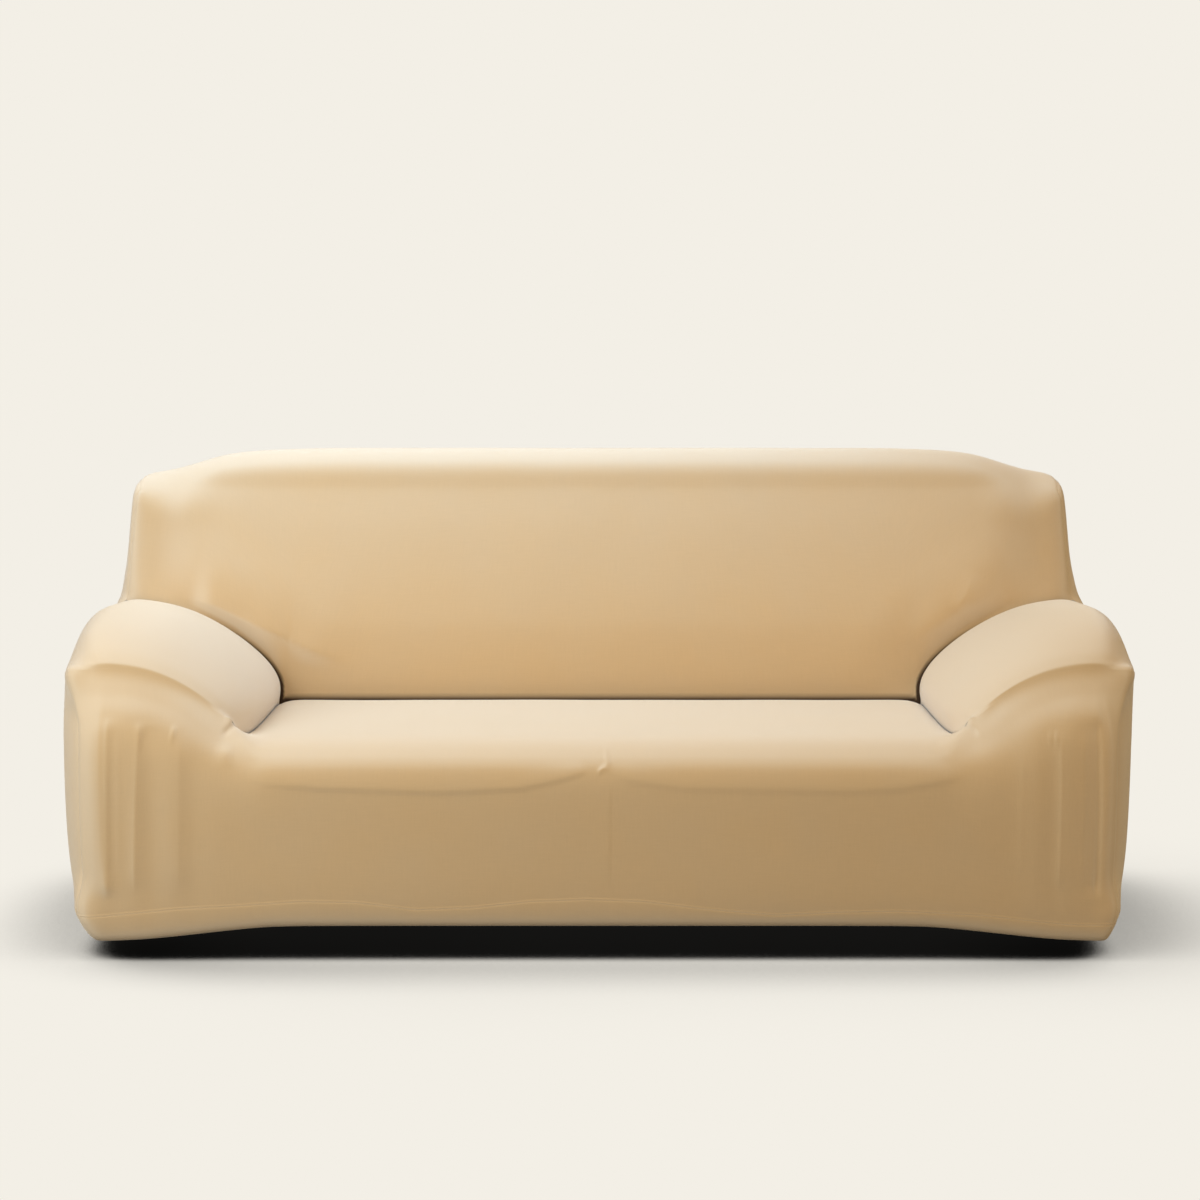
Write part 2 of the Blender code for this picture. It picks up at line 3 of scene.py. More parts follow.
import bmesh
import bpy
import numpy as np
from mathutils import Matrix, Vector


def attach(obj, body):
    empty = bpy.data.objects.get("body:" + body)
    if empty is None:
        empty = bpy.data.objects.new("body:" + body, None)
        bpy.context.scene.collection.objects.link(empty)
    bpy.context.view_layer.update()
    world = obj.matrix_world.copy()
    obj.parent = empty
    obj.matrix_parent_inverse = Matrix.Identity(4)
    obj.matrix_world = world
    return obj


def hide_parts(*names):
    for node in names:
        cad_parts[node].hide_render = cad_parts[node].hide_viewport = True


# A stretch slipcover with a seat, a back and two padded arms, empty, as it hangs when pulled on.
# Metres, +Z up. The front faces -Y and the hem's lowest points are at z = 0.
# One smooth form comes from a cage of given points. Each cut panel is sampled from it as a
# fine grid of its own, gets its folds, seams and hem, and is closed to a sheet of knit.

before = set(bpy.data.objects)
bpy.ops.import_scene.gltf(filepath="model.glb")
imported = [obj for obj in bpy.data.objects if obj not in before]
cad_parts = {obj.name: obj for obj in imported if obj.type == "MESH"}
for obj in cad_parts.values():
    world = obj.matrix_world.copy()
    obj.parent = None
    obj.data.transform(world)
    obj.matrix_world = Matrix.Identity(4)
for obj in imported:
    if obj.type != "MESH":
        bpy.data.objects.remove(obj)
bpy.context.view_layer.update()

view = {"place": (0.0, -5.94, 1.305), "tiltDown": 6.786, "lens": 90.0, "sensor": 36.0}

studio = {
    "floorZ": -0.035,
    "floorSize": 80.0,
    "backdrop": (0.896, 0.863, 0.791),
    # The floor seen is the backdrop's colour with soft shadows: two under the cover, and one that
    # falls to the right. lean is where each looks for what shades it.
    "floorSamples": 24,
    "floorShadows": [
        {"reach": 1.80, "lean": (0.0, 0.0, 1.0), "range": (0.26, 0.50), "darkest": 0.012},
        {"reach": 0.40, "lean": (0.0, 0.0, 1.0), "range": (0.30, 0.90), "darkest": 0.15},
        {"reach": 0.90, "lean": (-0.82, 0.25, 0.50), "range": (0.30, 0.92), "darkest": 0.62},
    ],
    "floorBounce": (0.24, 0.24, 0.24),  # as it lights the cloth
    "skyColour": (1.0, 0.757, 0.443),
    "skyStrength": 0.705,
}
# Soft boxes: where each stands and aims, its size, power and colour
softBoxes = {
    "overhead": {"at": (-0.40, 0.30, 1.70), "aim": (-0.40, 0.10, 0.0), "size": (2.2, 0.8),
                 "power": 17.5, "colour": (0.430, 0.680, 1.0)},
    "side": {"at": (-2.50, -2.50, 2.20), "aim": (0.0, 0.0, 0.40), "size": (2.0, 2.0),
             "power": 68.4, "colour": (0.873, 0.975, 1.0)},
}


def linked(obj):
    bpy.context.scene.collection.objects.link(obj)
    return obj


def opaque(colour):
    return (*colour, 1.0)


def setInputs(tree, node, inputs):  # by name or number, each to a value or a node's output
    for name, value in inputs.items():
        if isinstance(value, bpy.types.NodeSocket):
            tree.links.new(value, node.inputs[name])
        else:
            node.inputs[name].default_value = value


def newNode(tree, kind, inputs=None, **settings):
    node = tree.nodes.new(kind)
    for name, value in settings.items():
        setattr(node, name, value)
    setInputs(tree, node, inputs or {})
    return node


def addCamera():
    data = bpy.data.cameras.new("camera")
    data.lens = view["lens"]
    data.sensor_width = view["sensor"]
    camera = linked(bpy.data.objects.new("camera", data))
    camera.location = view["place"]
    camera.rotation_euler = (math.radians(90.0 - view["tiltDown"]), 0.0, 0.0)
    bpy.context.scene.camera = camera


def addSoftBox(name, box):
    data = bpy.data.lights.new(name, "AREA")
    data.shape = "RECTANGLE"
    data.size, data.size_y = box["size"]
    data.energy = box["power"]
    data.color = box["colour"]
    lamp = linked(bpy.data.objects.new(name, data))
    lamp.location = box["at"]
    aim = Vector(box["aim"]) - Vector(box["at"])
    lamp.rotation_euler = aim.to_track_quat("-Z", "Y").to_euler()
    lamp.visible_camera = False


def litAndSeen(tree, lit, seen, output):  # one shader lights the object, the other is seen
    path = newNode(tree, "ShaderNodeLightPath")
    mix = newNode(tree, "ShaderNodeMixShader", {
        "Fac": path.outputs["Is Camera Ray"], 1: lit.outputs[0], 2: seen.outputs[0]})
    newNode(tree, output, {"Surface": mix.outputs[0]})


def addWorld():
    world = bpy.data.worlds.new("studio")
    bpy.context.scene.world = world
    world.use_nodes = True
    tree = world.node_tree
    tree.nodes.clear()
    light = newNode(tree, "ShaderNodeBackground", {
        "Color": opaque(studio["skyColour"]), "Strength": studio["skyStrength"]})
    back = newNode(tree, "ShaderNodeBackground", {"Color": opaque(studio["backdrop"])})
    litAndSeen(tree, light, back, "ShaderNodeOutputWorld")


def addFloor():
    half = studio["floorSize"] / 2.0
    z = studio["floorZ"]
    mesh = bpy.data.meshes.new("floor")
    corners = [(-half, -half, z), (half, -half, z), (half, half, z), (-half, half, z)]
    mesh.from_pydata(corners, [], [(0, 1, 2, 3)])
    floor = linked(bpy.data.objects.new("floor", mesh))
    material = bpy.data.materials.new("floor_plain")
    material.use_nodes = True
    tree = material.node_tree
    tree.nodes.clear()
    shade = studio["backdrop"]
    for shadow in studio["floorShadows"]:
        lean = newNode(tree, "ShaderNodeCombineXYZ", dict(zip("XYZ", shadow["lean"])))
        part = newNode(tree, "ShaderNodeAmbientOcclusion", {
            "Distance": shadow["reach"], "Normal": lean.outputs[0]}, samples=studio["floorSamples"])
        low, high = shadow["range"]
        curve = newNode(tree, "ShaderNodeMapRange", {
            "Value": part.outputs["AO"], "From Min": low, "From Max": high,
            "To Min": shadow["darkest"]}, interpolation_type="SMOOTHSTEP")
        darker = newNode(tree, "ShaderNodeVectorMath", {0: shade, 1: curve.outputs[0]},
                         operation="MULTIPLY")
        shade = darker.outputs[0]
    bounce = newNode(tree, "ShaderNodeBsdfDiffuse", {"Color": opaque(studio["floorBounce"])})
    shown = newNode(tree, "ShaderNodeEmission", {"Color": shade})
    litAndSeen(tree, bounce, shown, "ShaderNodeOutputMaterial")
    mesh.materials.append(material)


addCamera()
addWorld()
addFloor()
for name, box in softBoxes.items():
    addSoftBox(name, box)
bpy.context.scene.view_settings.view_transform = "Standard"
print("stage: camera, floor and light are up")

# The form's driving sizes
frontY = -0.440
rearY = 0.440
seatTop = 0.377
creaseBack = 0.204  # how far back the seat runs into the crease
tuckDeep = 0.026  # how far the seat crease is pushed in
backStep = 0.008  # from the bottom of the seat crease back to the back's face
armTuckStep = 0.006  # from the back's face forward to the bottom of the arm's crease
backTop = 0.878
backLean = 0.236  # rearward set of the back's face for each metre of height
# The back's face steps rearward twice: where its padding ends, and where the wing rounds off
paddingEdge = {"start": 0.825, "end": 0.905, "back": 0.020}
wingEdge = {"start": 0.925, "end": 0.990, "back": 0.022}
hemArch = 0.028  # the hem is this much higher at the middle of the front
hemFlat = 0.560  # half the length that is arched evenly
hemLow = 0.930  # where the hem is lowest

# The arm's front between the skirt and the ridge: heights over the tuck, and how they rise with it
armFront = {
    "leanZ": 0.310, "leanRise": 0.78, "leanIn": 0.004,
    "browZ": 0.365, "browRise": 0.88, "browLeast": 0.45, "browMore": 0.32,
}
# The outer front corner: how far it is set back, and how far its hem is drawn in and up
cornerBack = 0.016
cornerDrawn = {"turned": (0.075, 0.008), "edge": (0.048, 0.010), "low": (0.018, 0.022)}

# Rows of the skirt, from the turned-in hem up. setIn is measured from the front, height from the
# hem for the first three and from the hem's lowest point for the others.
skirt = {
    "turned": {"setIn": 0.055, "height": 0.014},
    "edge": {"setIn": 0.020, "height": 0.000},
    "low": {"setIn": 0.004, "height": 0.036},
    "belly": {"setIn": 0.000, "height": 0.150},
    "lean": {"setIn": 0.000, "height": 0.275},
    "brow": {"setIn": 0.008, "height": 0.338},
}
skirtRows = list(skirt)

# Rows of the seat, from the front roll to the bottom of the rear crease
seatRows = {
    "rim": {"y": -0.395, "z": seatTop - 0.006},
    "roll": {"y": -0.340, "z": seatTop + 0.002},
    "front": {"y": -0.270, "z": seatTop + 0.002},
    "lap": {"y": -0.160, "z": seatTop + 0.001},
    "middle": {"y": -0.030, "z": seatTop},
    "hollow": {"y": 0.090, "z": seatTop - 0.001},
    "crease": {"y": 0.180, "z": seatTop - 0.005},
    "tuck": {"y": creaseBack, "z": seatTop - tuckDeep},
}
lengthRows = list(seatRows)

# Rows of an arm, over the same steps. rise and reach run from 0 on the front ridge to 1 on the full
# section, crest is how far the pad stands over it, seam is the seam along the outer side and tuck
# the bottom of the crease between arm and seat. The last row's y is measured from the back's face,
# and the first row is the ridge itself.
armRows = {
    "rim": {"y": None, "rise": 0.00, "reach": 0.00, "crest": 0.000,
            "seam": (1.010, -0.325, 0.508), "tuck": (0.692, -0.345, 0.408)},
    "roll": {"y": -0.340, "rise": 0.15, "reach": 0.10, "crest": 0.001,
             "seam": (1.021, -0.280, 0.501), "tuck": (0.688, -0.312, 0.384)},
    "front": {"y": -0.293, "rise": 0.45, "reach": 0.40, "crest": 0.007,
              "seam": (1.030, -0.215, 0.494), "tuck": (0.678, -0.260, 0.368)},
    "lap": {"y": -0.205, "rise": 0.82, "reach": 0.75, "crest": 0.016,
            "seam": (1.036, -0.130, 0.488), "tuck": (0.670, -0.160, 0.365)},
    "middle": {"y": -0.055, "rise": 1.00, "reach": 0.95, "crest": 0.020,
               "seam": (1.038, -0.015, 0.483), "tuck": (0.666, -0.030, 0.364)},
    "hollow": {"y": 0.090, "rise": 1.00, "reach": 1.00, "crest": 0.012,
               "seam": (1.038, 0.100, 0.478), "tuck": (0.665, 0.090, 0.362)},
    "crease": {"y": -0.020, "rise": 1.00, "reach": 1.00, "crest": 0.000,
               "seam": (1.038, 0.205, 0.474), "tuck": (0.664, 0.176, 0.360)},
}

# Columns of an arm, from the crease at the seat to the seam down the outer side. front is where the
# column stands on the arm's front, ridge the ridge under the pad's front roll, pad (x, z) the full
# section, crest its share of the pad's crest, deep how far the crease at the back is pushed in
# there, top (x, z) its place on the top of the back.
armColumns = {
    "tuck": {"front": 0.692, "ridge": (0.692, -0.345, 0.408), "pad": (0.663, 0.350),
             "crest": 0.0, "deep": 0.000, "top": (0.610, 0.877)},
    "crease": {"front": 0.728, "ridge": (0.706, -0.346, 0.421), "pad": (0.654, 0.402),
               "crest": 0.1, "deep": 0.018, "top": (0.668, 0.875)},
    "inner": {"front": 0.765, "ridge": (0.737, -0.348, 0.449), "pad": (0.684, 0.453),
              "crest": 0.2, "deep": 0.024, "top": (0.732, 0.872)},
    "slope": {"front": 0.803, "ridge": (0.785, -0.351, 0.482), "pad": (0.757, 0.511),
              "crest": 0.5, "deep": 0.026, "top": (0.795, 0.864)},
    "shoulder": {"front": 0.845, "ridge": (0.842, -0.354, 0.506), "pad": (0.848, 0.556),
                 "crest": 0.9, "deep": 0.022, "top": (0.850, 0.846)},
    "crown": {"front": 0.893, "ridge": (0.900, -0.354, 0.517), "pad": (0.930, 0.569),
              "crest": 1.0, "deep": 0.010, "top": (0.905, 0.830)},
    "wing": {"front": 0.938, "ridge": (0.952, -0.350, 0.517), "pad": (0.988, 0.567),
             "crest": 1.0, "deep": 0.000, "top": (0.957, 0.822)},
    "edge": {"front": 0.978, "ridge": (0.988, -0.341, 0.513), "pad": (1.028, 0.530),
             "crest": 0.8, "deep": 0.000, "top": None},
    "seam": {"front": 1.008, "ridge": (1.010, -0.325, 0.508), "pad": (1.038, 0.470),
             "crest": 0.0, "deep": 0.000, "top": None},
}
armNames = list(armColumns)
toWing = armNames[: armNames.index("wing") + 1]
# The pad's outer edge goes this share of the way to the seam, and the inner crease's to the tuck
edgeToSeam = {"y": 0.55, "z": 0.25}
creaseToTuck = 0.5
ridgeLow = 0.41  # above this the seam between the front and the arm is a ridge, below it a crease

# Upright folds on each arm's front: where the column stands, and how far it is proud of the front
armFolds = {
    "left": {"crease": (0.728, 0.000), "inner": (0.762, -0.002), "slope": (0.797, 0.003),
             "shoulder": (0.838, -0.003), "crown": (0.870, 0.003), "wing": (0.917, -0.004),
             "edge": (0.948, 0.003)},
    "right": {"crease": (0.735, 0.000), "inner": (0.782, -0.002), "slope": (0.815, 0.003),
              "shoulder": (0.850, -0.002), "crown": (0.876, 0.003), "wing": (0.928, -0.004),
              "edge": (0.958, 0.003)},
}

# The two sides hang a little differently: how far each wing and each side's skirt stands out, and
# the heights and widths between which that sets in
uneven = {"left": {"wing": 0.011, "skirt": 0.001}, "right": {"wing": 0.005, "skirt": -0.009}}
wingZone = {"z": (0.54, 0.62), "x": (0.80, 0.95)}
skirtZone = {"z": (0.36, 0.50), "x": (0.90, 1.00)}

# Columns of the seat between the creases, from the crease to the centre line: where each stands on
# the front, where it meets the back, and where it crosses the top of the back
seatColumns = {
    "beside": {"front": 0.640, "rear": 0.634, "top": 0.545},
    "shore": {"front": 0.575, "rear": 0.570, "top": 0.460},
    "halfway": {"front": 0.310, "rear": 0.305, "top": 0.250},
    "centre": {"front": 0.000, "rear": 0.000, "top": 0.000},
}

# Rows of the inside back, from the bottom of the crease over the top to the rear seam, each with
# its share of the way from the crease to the top's front edge
backRows = {"tuck": None, "crease": 0.0, "low": 0.24, "half": 0.50, "high": 0.76, "front": 1.0,
            "top": None, "rear": None}
backNames = list(backRows)
facing = backNames[1:-2]
cornerX = 0.648  # where the back's crease with the seat meets its crease with the arm
cornerZ = 0.390
# How far the tension folds stand forward over the corners beside the arms
backFold = {"crease": 0.003, "inner": 0.009, "slope": 0.008}
topRoll = 0.072  # drop from the top to its front edge
topDepth = 0.055  # from that edge back to the top
rearDrop = 0.012  # drop from the top to the rear seam
rearSeam = 0.425
crownLift = 0.008  # the back's crease at the crown is this much above the pad
# The wing: its outer seam at the top's front edge, that edge's drop, and its place on the top
wing = {"x": 0.968, "y": 0.338, "drop": 0.020, "topY": 0.385, "rearIn": 0.006, "rearAhead": 0.012}

# The seam down each outer rear side, from hem to wing, and the two columns behind it. The rows
# below the pad are the skirt's.
rearSide = {
    "turned": {"seam": (0.962, 0.262, 0.024), "strip": (0.962, 0.345), "corner": (0.945, 0.388)},
    "edge": {"seam": (0.986, 0.262, 0.012), "strip": (0.985, 0.354), "corner": (0.964, 0.410)},
    "low": {"seam": (1.008, 0.264, 0.045), "strip": (1.006, 0.358), "corner": (0.986, 0.424)},
    "belly": {"seam": (1.024, 0.268, 0.155), "strip": (1.020, 0.362), "corner": (0.998, 0.429)},
    "lean": {"seam": (1.033, 0.274, 0.285), "strip": (1.028, 0.364), "corner": (1.004, 0.430)},
    "brow": {"seam": (1.037, 0.280, 0.390), "strip": (1.032, 0.366), "corner": (1.006, 0.430)},
    "rim": {"seam": (1.038, 0.284, 0.470), "strip": (1.034, 0.368), "corner": (1.004, 0.430)},
    "edgeUp": {"seam": (1.028, 0.287, 0.530), "strip": (1.031, 0.369), "corner": (0.999, 0.430)},
    "crease": {"seam": (0.990, 0.292, 0.564), "strip": (1.015, 0.370), "corner": (0.992, 0.430)},
    "creaseUp": {"seam": (0.983, 0.296, 0.592), "strip": (1.003, 0.371), "corner": (0.985, 0.430)},
}
flare = 0.007  # how far the strip stands out from the wing's seam above the arm
stripY = 0.371
rearCorner = (0.985, 0.428)
rearHemIn = (0.050, 0.018, 0.005)  # how far the rear's lowest three rows are set in
rearLean = 0.003
sideBulge = 5  # how soon the outer side reaches its full width behind the front corner


def point(*at):
    return np.array(at, dtype=float)


def blend(start, end, share):
    return start + (end - start) * share


def smoothStep(value, start, end):
    share = np.clip((value - start) / (end - start), 0.0, 1.0)
    return share * share * (3.0 - 2.0 * share)


def hemHeight(x):
    return hemArch * (1.0 - smoothStep(abs(x), hemFlat, hemLow))


def backFace(x, z):  # how far back the inside back's face stands at this width and height
    turn = 0.0
    for edge in (paddingEdge, wingEdge):
        turn += edge["back"] * smoothStep(abs(x), edge["start"], edge["end"])
    return creaseBack + backStep + backLean * (z - seatTop) + turn


def skirtPoint(row, x, proud=0.0):
    size = skirt[row]
    if row in ("turned", "edge", "low"):
        return point(x, frontY + size["setIn"], hemHeight(x) + size["height"])
    return point(x, frontY + size["setIn"] - proud, size["height"])


def seatColumn(name):  # from the hem up the front and back over the seat to the crease
    column = seatColumns[name]
    points = [skirtPoint(row, column["front"]) for row in skirtRows]
    start = seatRows["rim"]["y"]
    for size in seatRows.values():
        share = (size["y"] - start) / (creaseBack - start)
        points.append(point(blend(column["front"], column["rear"], share), size["y"], size["z"]))
    return points


def armFrontColumn(name, side):  # from the hem up the arm's front to just under the ridge
    column = armColumns[name]
    x, proud = armFolds[side].get(name, (column["front"], 0.0))
    ridgeX, ridgeY, ridgeZ = column["ridge"]
    rise = ridgeZ - armColumns["tuck"]["ridge"][2]
    out = smoothStep(x, armColumns["tuck"]["front"], armColumns["shoulder"]["front"])
    corner = smoothStep(x, armFolds[side]["edge"][0], armColumns["seam"]["front"])
    points = []
    for row in skirtRows:
        at = skirtPoint(row, x, proud if row in ("belly", "lean") else 0.0)
        drawnIn, drawnUp = cornerDrawn.get(row, (0.0, 0.0))
        at += point(-drawnIn, cornerBack, drawnUp) * corner
        if row == "lean":
            at[1] += armFront["leanIn"] * out
            at[2] = armFront["leanZ"] + armFront["leanRise"] * rise
        if row == "brow":
            share = armFront["browLeast"] + armFront["browMore"] * out
            at = point(blend(x, ridgeX, share), blend(frontY, ridgeY, share),
                       armFront["browZ"] + armFront["browRise"] * rise)
        points.append(at)
    return points


def armPoint(row, name):  # on the arm's pad, from its ridge to the crease at the back
    column, size = armColumns[name], armRows[row]
    if name in ("tuck", "seam"):
        return point(*size[name])
    if row == "rim":
        return point(*column["ridge"])
    x = blend(column["ridge"][0], column["pad"][0], size["reach"])
    z = blend(column["ridge"][2], column["pad"][1], size["rise"]) + size["crest"] * column["crest"]
    y = size["y"]
    if row == "crease":
        y += backFace(*column["pad"])
    if name == "edge":
        y = blend(y, size["seam"][1], edgeToSeam["y"])
        z = blend(z, size["seam"][2], edgeToSeam["z"] * (1.0 - size["reach"]))
    if name == "crease":
        y = blend(y, size["tuck"][1], creaseToTuck)
        z = blend(column["ridge"][2], column["pad"][1], size["reach"])
    return point(x, y, z)


def armTuckPoint(name):  # at the bottom of the crease between the arm and the back
    x, z = armColumns[name]["pad"]
    if name == "tuck":
        return point(x, creaseBack, z)
    if name in ("wing", "edge", "seam"):
        return point(*rearSide[{"wing": "crease", "edge": "edgeUp", "seam": "rim"}[name]]["seam"])
    spot = armNames.index(name)
    before, after = (point(*armColumns[armNames[at]]["pad"]) for at in (spot - 1, spot + 1))
    alongX, alongZ = (after - before) / np.linalg.norm(after - before)
    deep = armColumns[name]["deep"]
    return point(x + alongZ * deep, backFace(x, z) - armTuckStep, z - alongX * deep)


def backColumn(name, tuck, low, top):  # of the inside back, from the crease over the top
    (xLow, zLow), (xTop, zTop) = low, top
    points = [tuck]
    for row in facing:
        x = blend(xLow, xTop, backRows[row])
        z = blend(zLow, zTop - topRoll, backRows[row])
        proud = backFold.get(name, 0.0) if row == "low" else 0.0
        points.append(point(x, backFace(x, z) - proud, z))
    share = smoothStep(xTop, armColumns["crown"]["top"][0], armColumns["wing"]["top"][0])
    points.append(point(xTop, blend(points[-1][1] + topDepth, wing["topY"], share), zTop))
    points.append(point(xTop - wing["rearIn"] * share, rearSeam - wing["rearAhead"] * share,
                        zTop - rearDrop))
    return points


def armBackColumn(name):
    column = armColumns[name]
    low = (cornerX, cornerZ) if name == "tuck" else column["pad"]
    points = backColumn(name, armTuckPoint(name), low, column["top"])
    if name == "crown":
        points[1][2] += crownLift
    if name == "wing":
        start = point(*rearSide["creaseUp"]["seam"])
        end = point(wing["x"], wing["y"], column["top"][1] - wing["drop"])
        for spot, row in enumerate(facing, start=1):
            points[spot] = blend(start, end, backRows[row])
    return points


def rearSideColumns():  # the seam, the strip beside it and the corner at the outer rear
    wingColumn = armBackColumn("wing")
    seam = [point(*row["seam"]) for row in rearSide.values()]
    strip = [point(*row["strip"], row["seam"][2]) for row in rearSide.values()]
    corner = [point(*row["corner"], row["seam"][2]) for row in rearSide.values()]
    seam[-1] = wingColumn[1]
    above = wingColumn[2 : backNames.index("front") + 1]
    level = seam[-1][2]
    topPoint, rearPoint = wingColumn[-2:]
    for spot, at in enumerate(above[:-1], start=1):
        share = spot / len(above)
        strip.append(point(at[0] + flare * (1.0 - share), blend(stripY, topPoint[1], share),
                           blend(level, topPoint[2], share)))
        corner.append(point(blend(rearCorner[0], rearPoint[0], share), rearCorner[1],
                            blend(level, rearPoint[2], share)))
    return seam + above, strip + [topPoint], corner + [rearPoint]


def rearColumn(xHem, top, corner):  # of the rear, from the turned-in hem to the seam on top
    points = []
    last = len(corner) - 1
    level = len(rearSide) - 1  # up to this row all columns have the corner's heights
    for spot, at in enumerate(corner):
        share = spot / last
        setIn = rearHemIn[spot] if spot < len(rearHemIn) else 0.0
        z = at[2]
        if spot > level:
            z = blend(corner[level][2], top[2], (spot - level) / (last - level))
        points.append(point(blend(xHem, top[0], share), rearY - rearLean * share - setIn, z))
    points[-1] = top
    return points


def sideColumns(side):  # of the outer side, from the front corner to the seam at the rear
    front = armFrontColumn("seam", side) + [armPoint("rim", "seam")]
    rear = [point(*rearSide[row]["seam"]) for row in skirtRows + ["rim"]]
    top = [armPoint(row, "seam") for row in lengthRows[:-1]] + [armTuckPoint("seam")]
    made = [front]
    for spot in range(1, len(top) - 1):
        share = spot / (len(top) - 1)
        bulge = 1.0 - (1.0 - share) ** sideBulge
        column = []
        for up in range(len(skirtRows)):
            rise = up / len(skirtRows)
            y = blend(blend(front[up][1], rear[up][1], share), top[spot][1], rise**2)
            column.append(point(blend(front[up][0], rear[up][0], bulge), y,
                                blend(front[up][2], rear[up][2], share)))
        made.append(column + [top[spot]])
    return made + [rear[:-1] + [top[-1]]]


def settled(at):  # with the unevenness of the two sides
    side = uneven["left" if at[0] < 0.0 else "right"]
    wide = abs(at[0])
    out = side["wing"] * smoothStep(at[2], *wingZone["z"]) * smoothStep(wide, *wingZone["x"])
    low = 1.0 - smoothStep(at[2], *skirtZone["z"])
    out += side["skirt"] * low * smoothStep(wide, *skirtZone["x"])
    return at + point(np.sign(at[0]) * out, 0.0, 0.0)


def mirrored(columns):
    return [[at * point(-1.0, 1.0, 1.0) for at in column] for column in reversed(columns)]


def formGrids():  # name and columns of every grid, left to right as seen from outside
    seatRight = [seatColumn(name) for name in reversed(seatColumns)]
    creaseColumn = armFrontColumn("tuck", "right")
    creaseColumn += [armPoint(row, "tuck") for row in lengthRows[:-1]] + [armTuckPoint("tuck")]
    right = seatRight + [creaseColumn]
    middle = mirrored(right)[:-1] + right
    skirts, pads = {}, {}
    for side in armFolds:
        skirts[side] = [armFrontColumn(name, side) + [armPoint("rim", name)]
                        for name in armNames[1:]]
        pads[side] = [[armPoint(row, name) for row in lengthRows[:-1]] + [armTuckPoint(name)]
                      for name in armNames]
    high = len(skirtRows) + 1
    backRight = [
        backColumn(name, column[-1], (column[-1][0], cornerZ), (seatColumns[name]["top"], backTop))
        for name, column in zip(reversed(seatColumns), seatRight)
    ]
    backRight += [armBackColumn(name) for name in toWing]
    seam, strip, corner = rearSideColumns()
    hems = np.linspace(0.0, corner[0][0], len(backRight))
    rearRight = [rearColumn(x, column[-1], corner) for x, column in zip(hems, backRight)]
    rearRight = rearRight[:-1] + [corner, strip, seam]
    return {
        "front": mirrored(skirts["left"]) + [column[:high] for column in middle] + skirts["right"],
        "seat": [column[high - 1 :] for column in middle],
        "armLeft": mirrored(pads["left"]),
        "armRight": pads["right"],
        "insideBack": mirrored(backRight)[:-1] + backRight,
        "outsideBack": rearRight[::-1] + mirrored(rearRight[::-1])[1:],
        "sideLeft": mirrored(sideColumns("left")),
        "sideRight": sideColumns("right"),
    }


refining = {"levels": 3, "fit": 0.5, "sewn": 0.00001}  # fit brings the form back onto the cage


def makeCage(grids):
    names = list(grids)
    bm = bmesh.new()
    place = bm.loops.layers.uv.new("place")
    for spot, name in enumerate(names):
        columns = grids[name]
        verts = [[bm.verts.new(settled(at)) for at in column] for column in columns]
        for across in range(len(columns) - 1):
            for up in range(len(columns[0]) - 1):
                cells = [(across, up), (across + 1, up), (across + 1, up + 1), (across, up + 1)]
                face = bm.faces.new([verts[i][j] for i, j in cells])
                face.material_index = spot
                for loop, cell in zip(face.loops, cells):
                    loop[place].uv = cell
    bmesh.ops.remove_doubles(bm, verts=bm.verts, dist=refining["sewn"])
    crease = bm.edges.layers.float.new("crease_edge")
    for edge in bm.edges:
        sides = {names[face.material_index] for face in edge.link_faces}
        arm = sides & {"armLeft", "armRight"}
        cloth = sides & {"front", "seat"}
        low = min(vert.co.z for vert in edge.verts) <= ridgeLow
        if ("insideBack" in sides and (arm or cloth)) or (cloth and arm and low):
            edge[crease] = 1.0
    mesh = bpy.data.meshes.new("form")
    bm.to_mesh(mesh)
    bm.free()
    cage = linked(bpy.data.objects.new("form", mesh))
    smooth = cage.modifiers.new("smooth", "SUBSURF")
    smooth.levels = smooth.render_levels = refining["levels"]
    smooth.uv_smooth = "NONE"
    return cage


def evaluatedMesh(obj):
    bpy.context.view_layer.update()
    return bpy.data.meshes.new_from_object(obj.evaluated_get(bpy.context.evaluated_depsgraph_get()))


def refinedGrids(grids):  # points and outward directions, by grid, at every refined step
    cage = makeCage(grids)
    first = evaluatedMesh(cage)
    for vert in cage.data.vertices:
        vert.co += refining["fit"] * (vert.co - first.vertices[vert.index].co)
    cage.data.update()
    form = evaluatedMesh(cage)
    points = np.empty(len(form.vertices) * 3)
    form.vertices.foreach_get("co", points)
    outward = np.empty(len(form.vertices) * 3)
    form.vertices.foreach_get("normal", outward)
    vertOf = np.empty(len(form.loops), dtype=int)
    form.loops.foreach_get("vertex_index", vertOf)
    places = np.empty(len(form.loops) * 2)
    form.uv_layers["place"].data.foreach_get("uv", places)
    gridOf = np.empty(len(form.polygons), dtype=int)
    form.polygons.foreach_get("material_index", gridOf)
    gridOf = np.repeat(gridOf, 4)
    step = 2 ** refining["levels"]
    cells = np.rint(places.reshape(-1, 2) * step).astype(int)
    both = np.hstack([points.reshape(-1, 3), outward.reshape(-1, 3)])
    made = {}
    for spot, (name, columns) in enumerate(grids.items()):
        mine = gridOf == spot
        shape = ((len(columns) - 1) * step + 1, (len(columns[0]) - 1) * step + 1, 6)
        made[name] = np.zeros(shape)
        made[name][cells[mine, 0], cells[mine, 1]] = both[vertOf[mine]]
    bpy.data.objects.remove(cage, do_unlink=True)
    for mesh in (first, form):
        bpy.data.meshes.remove(mesh)
    return made


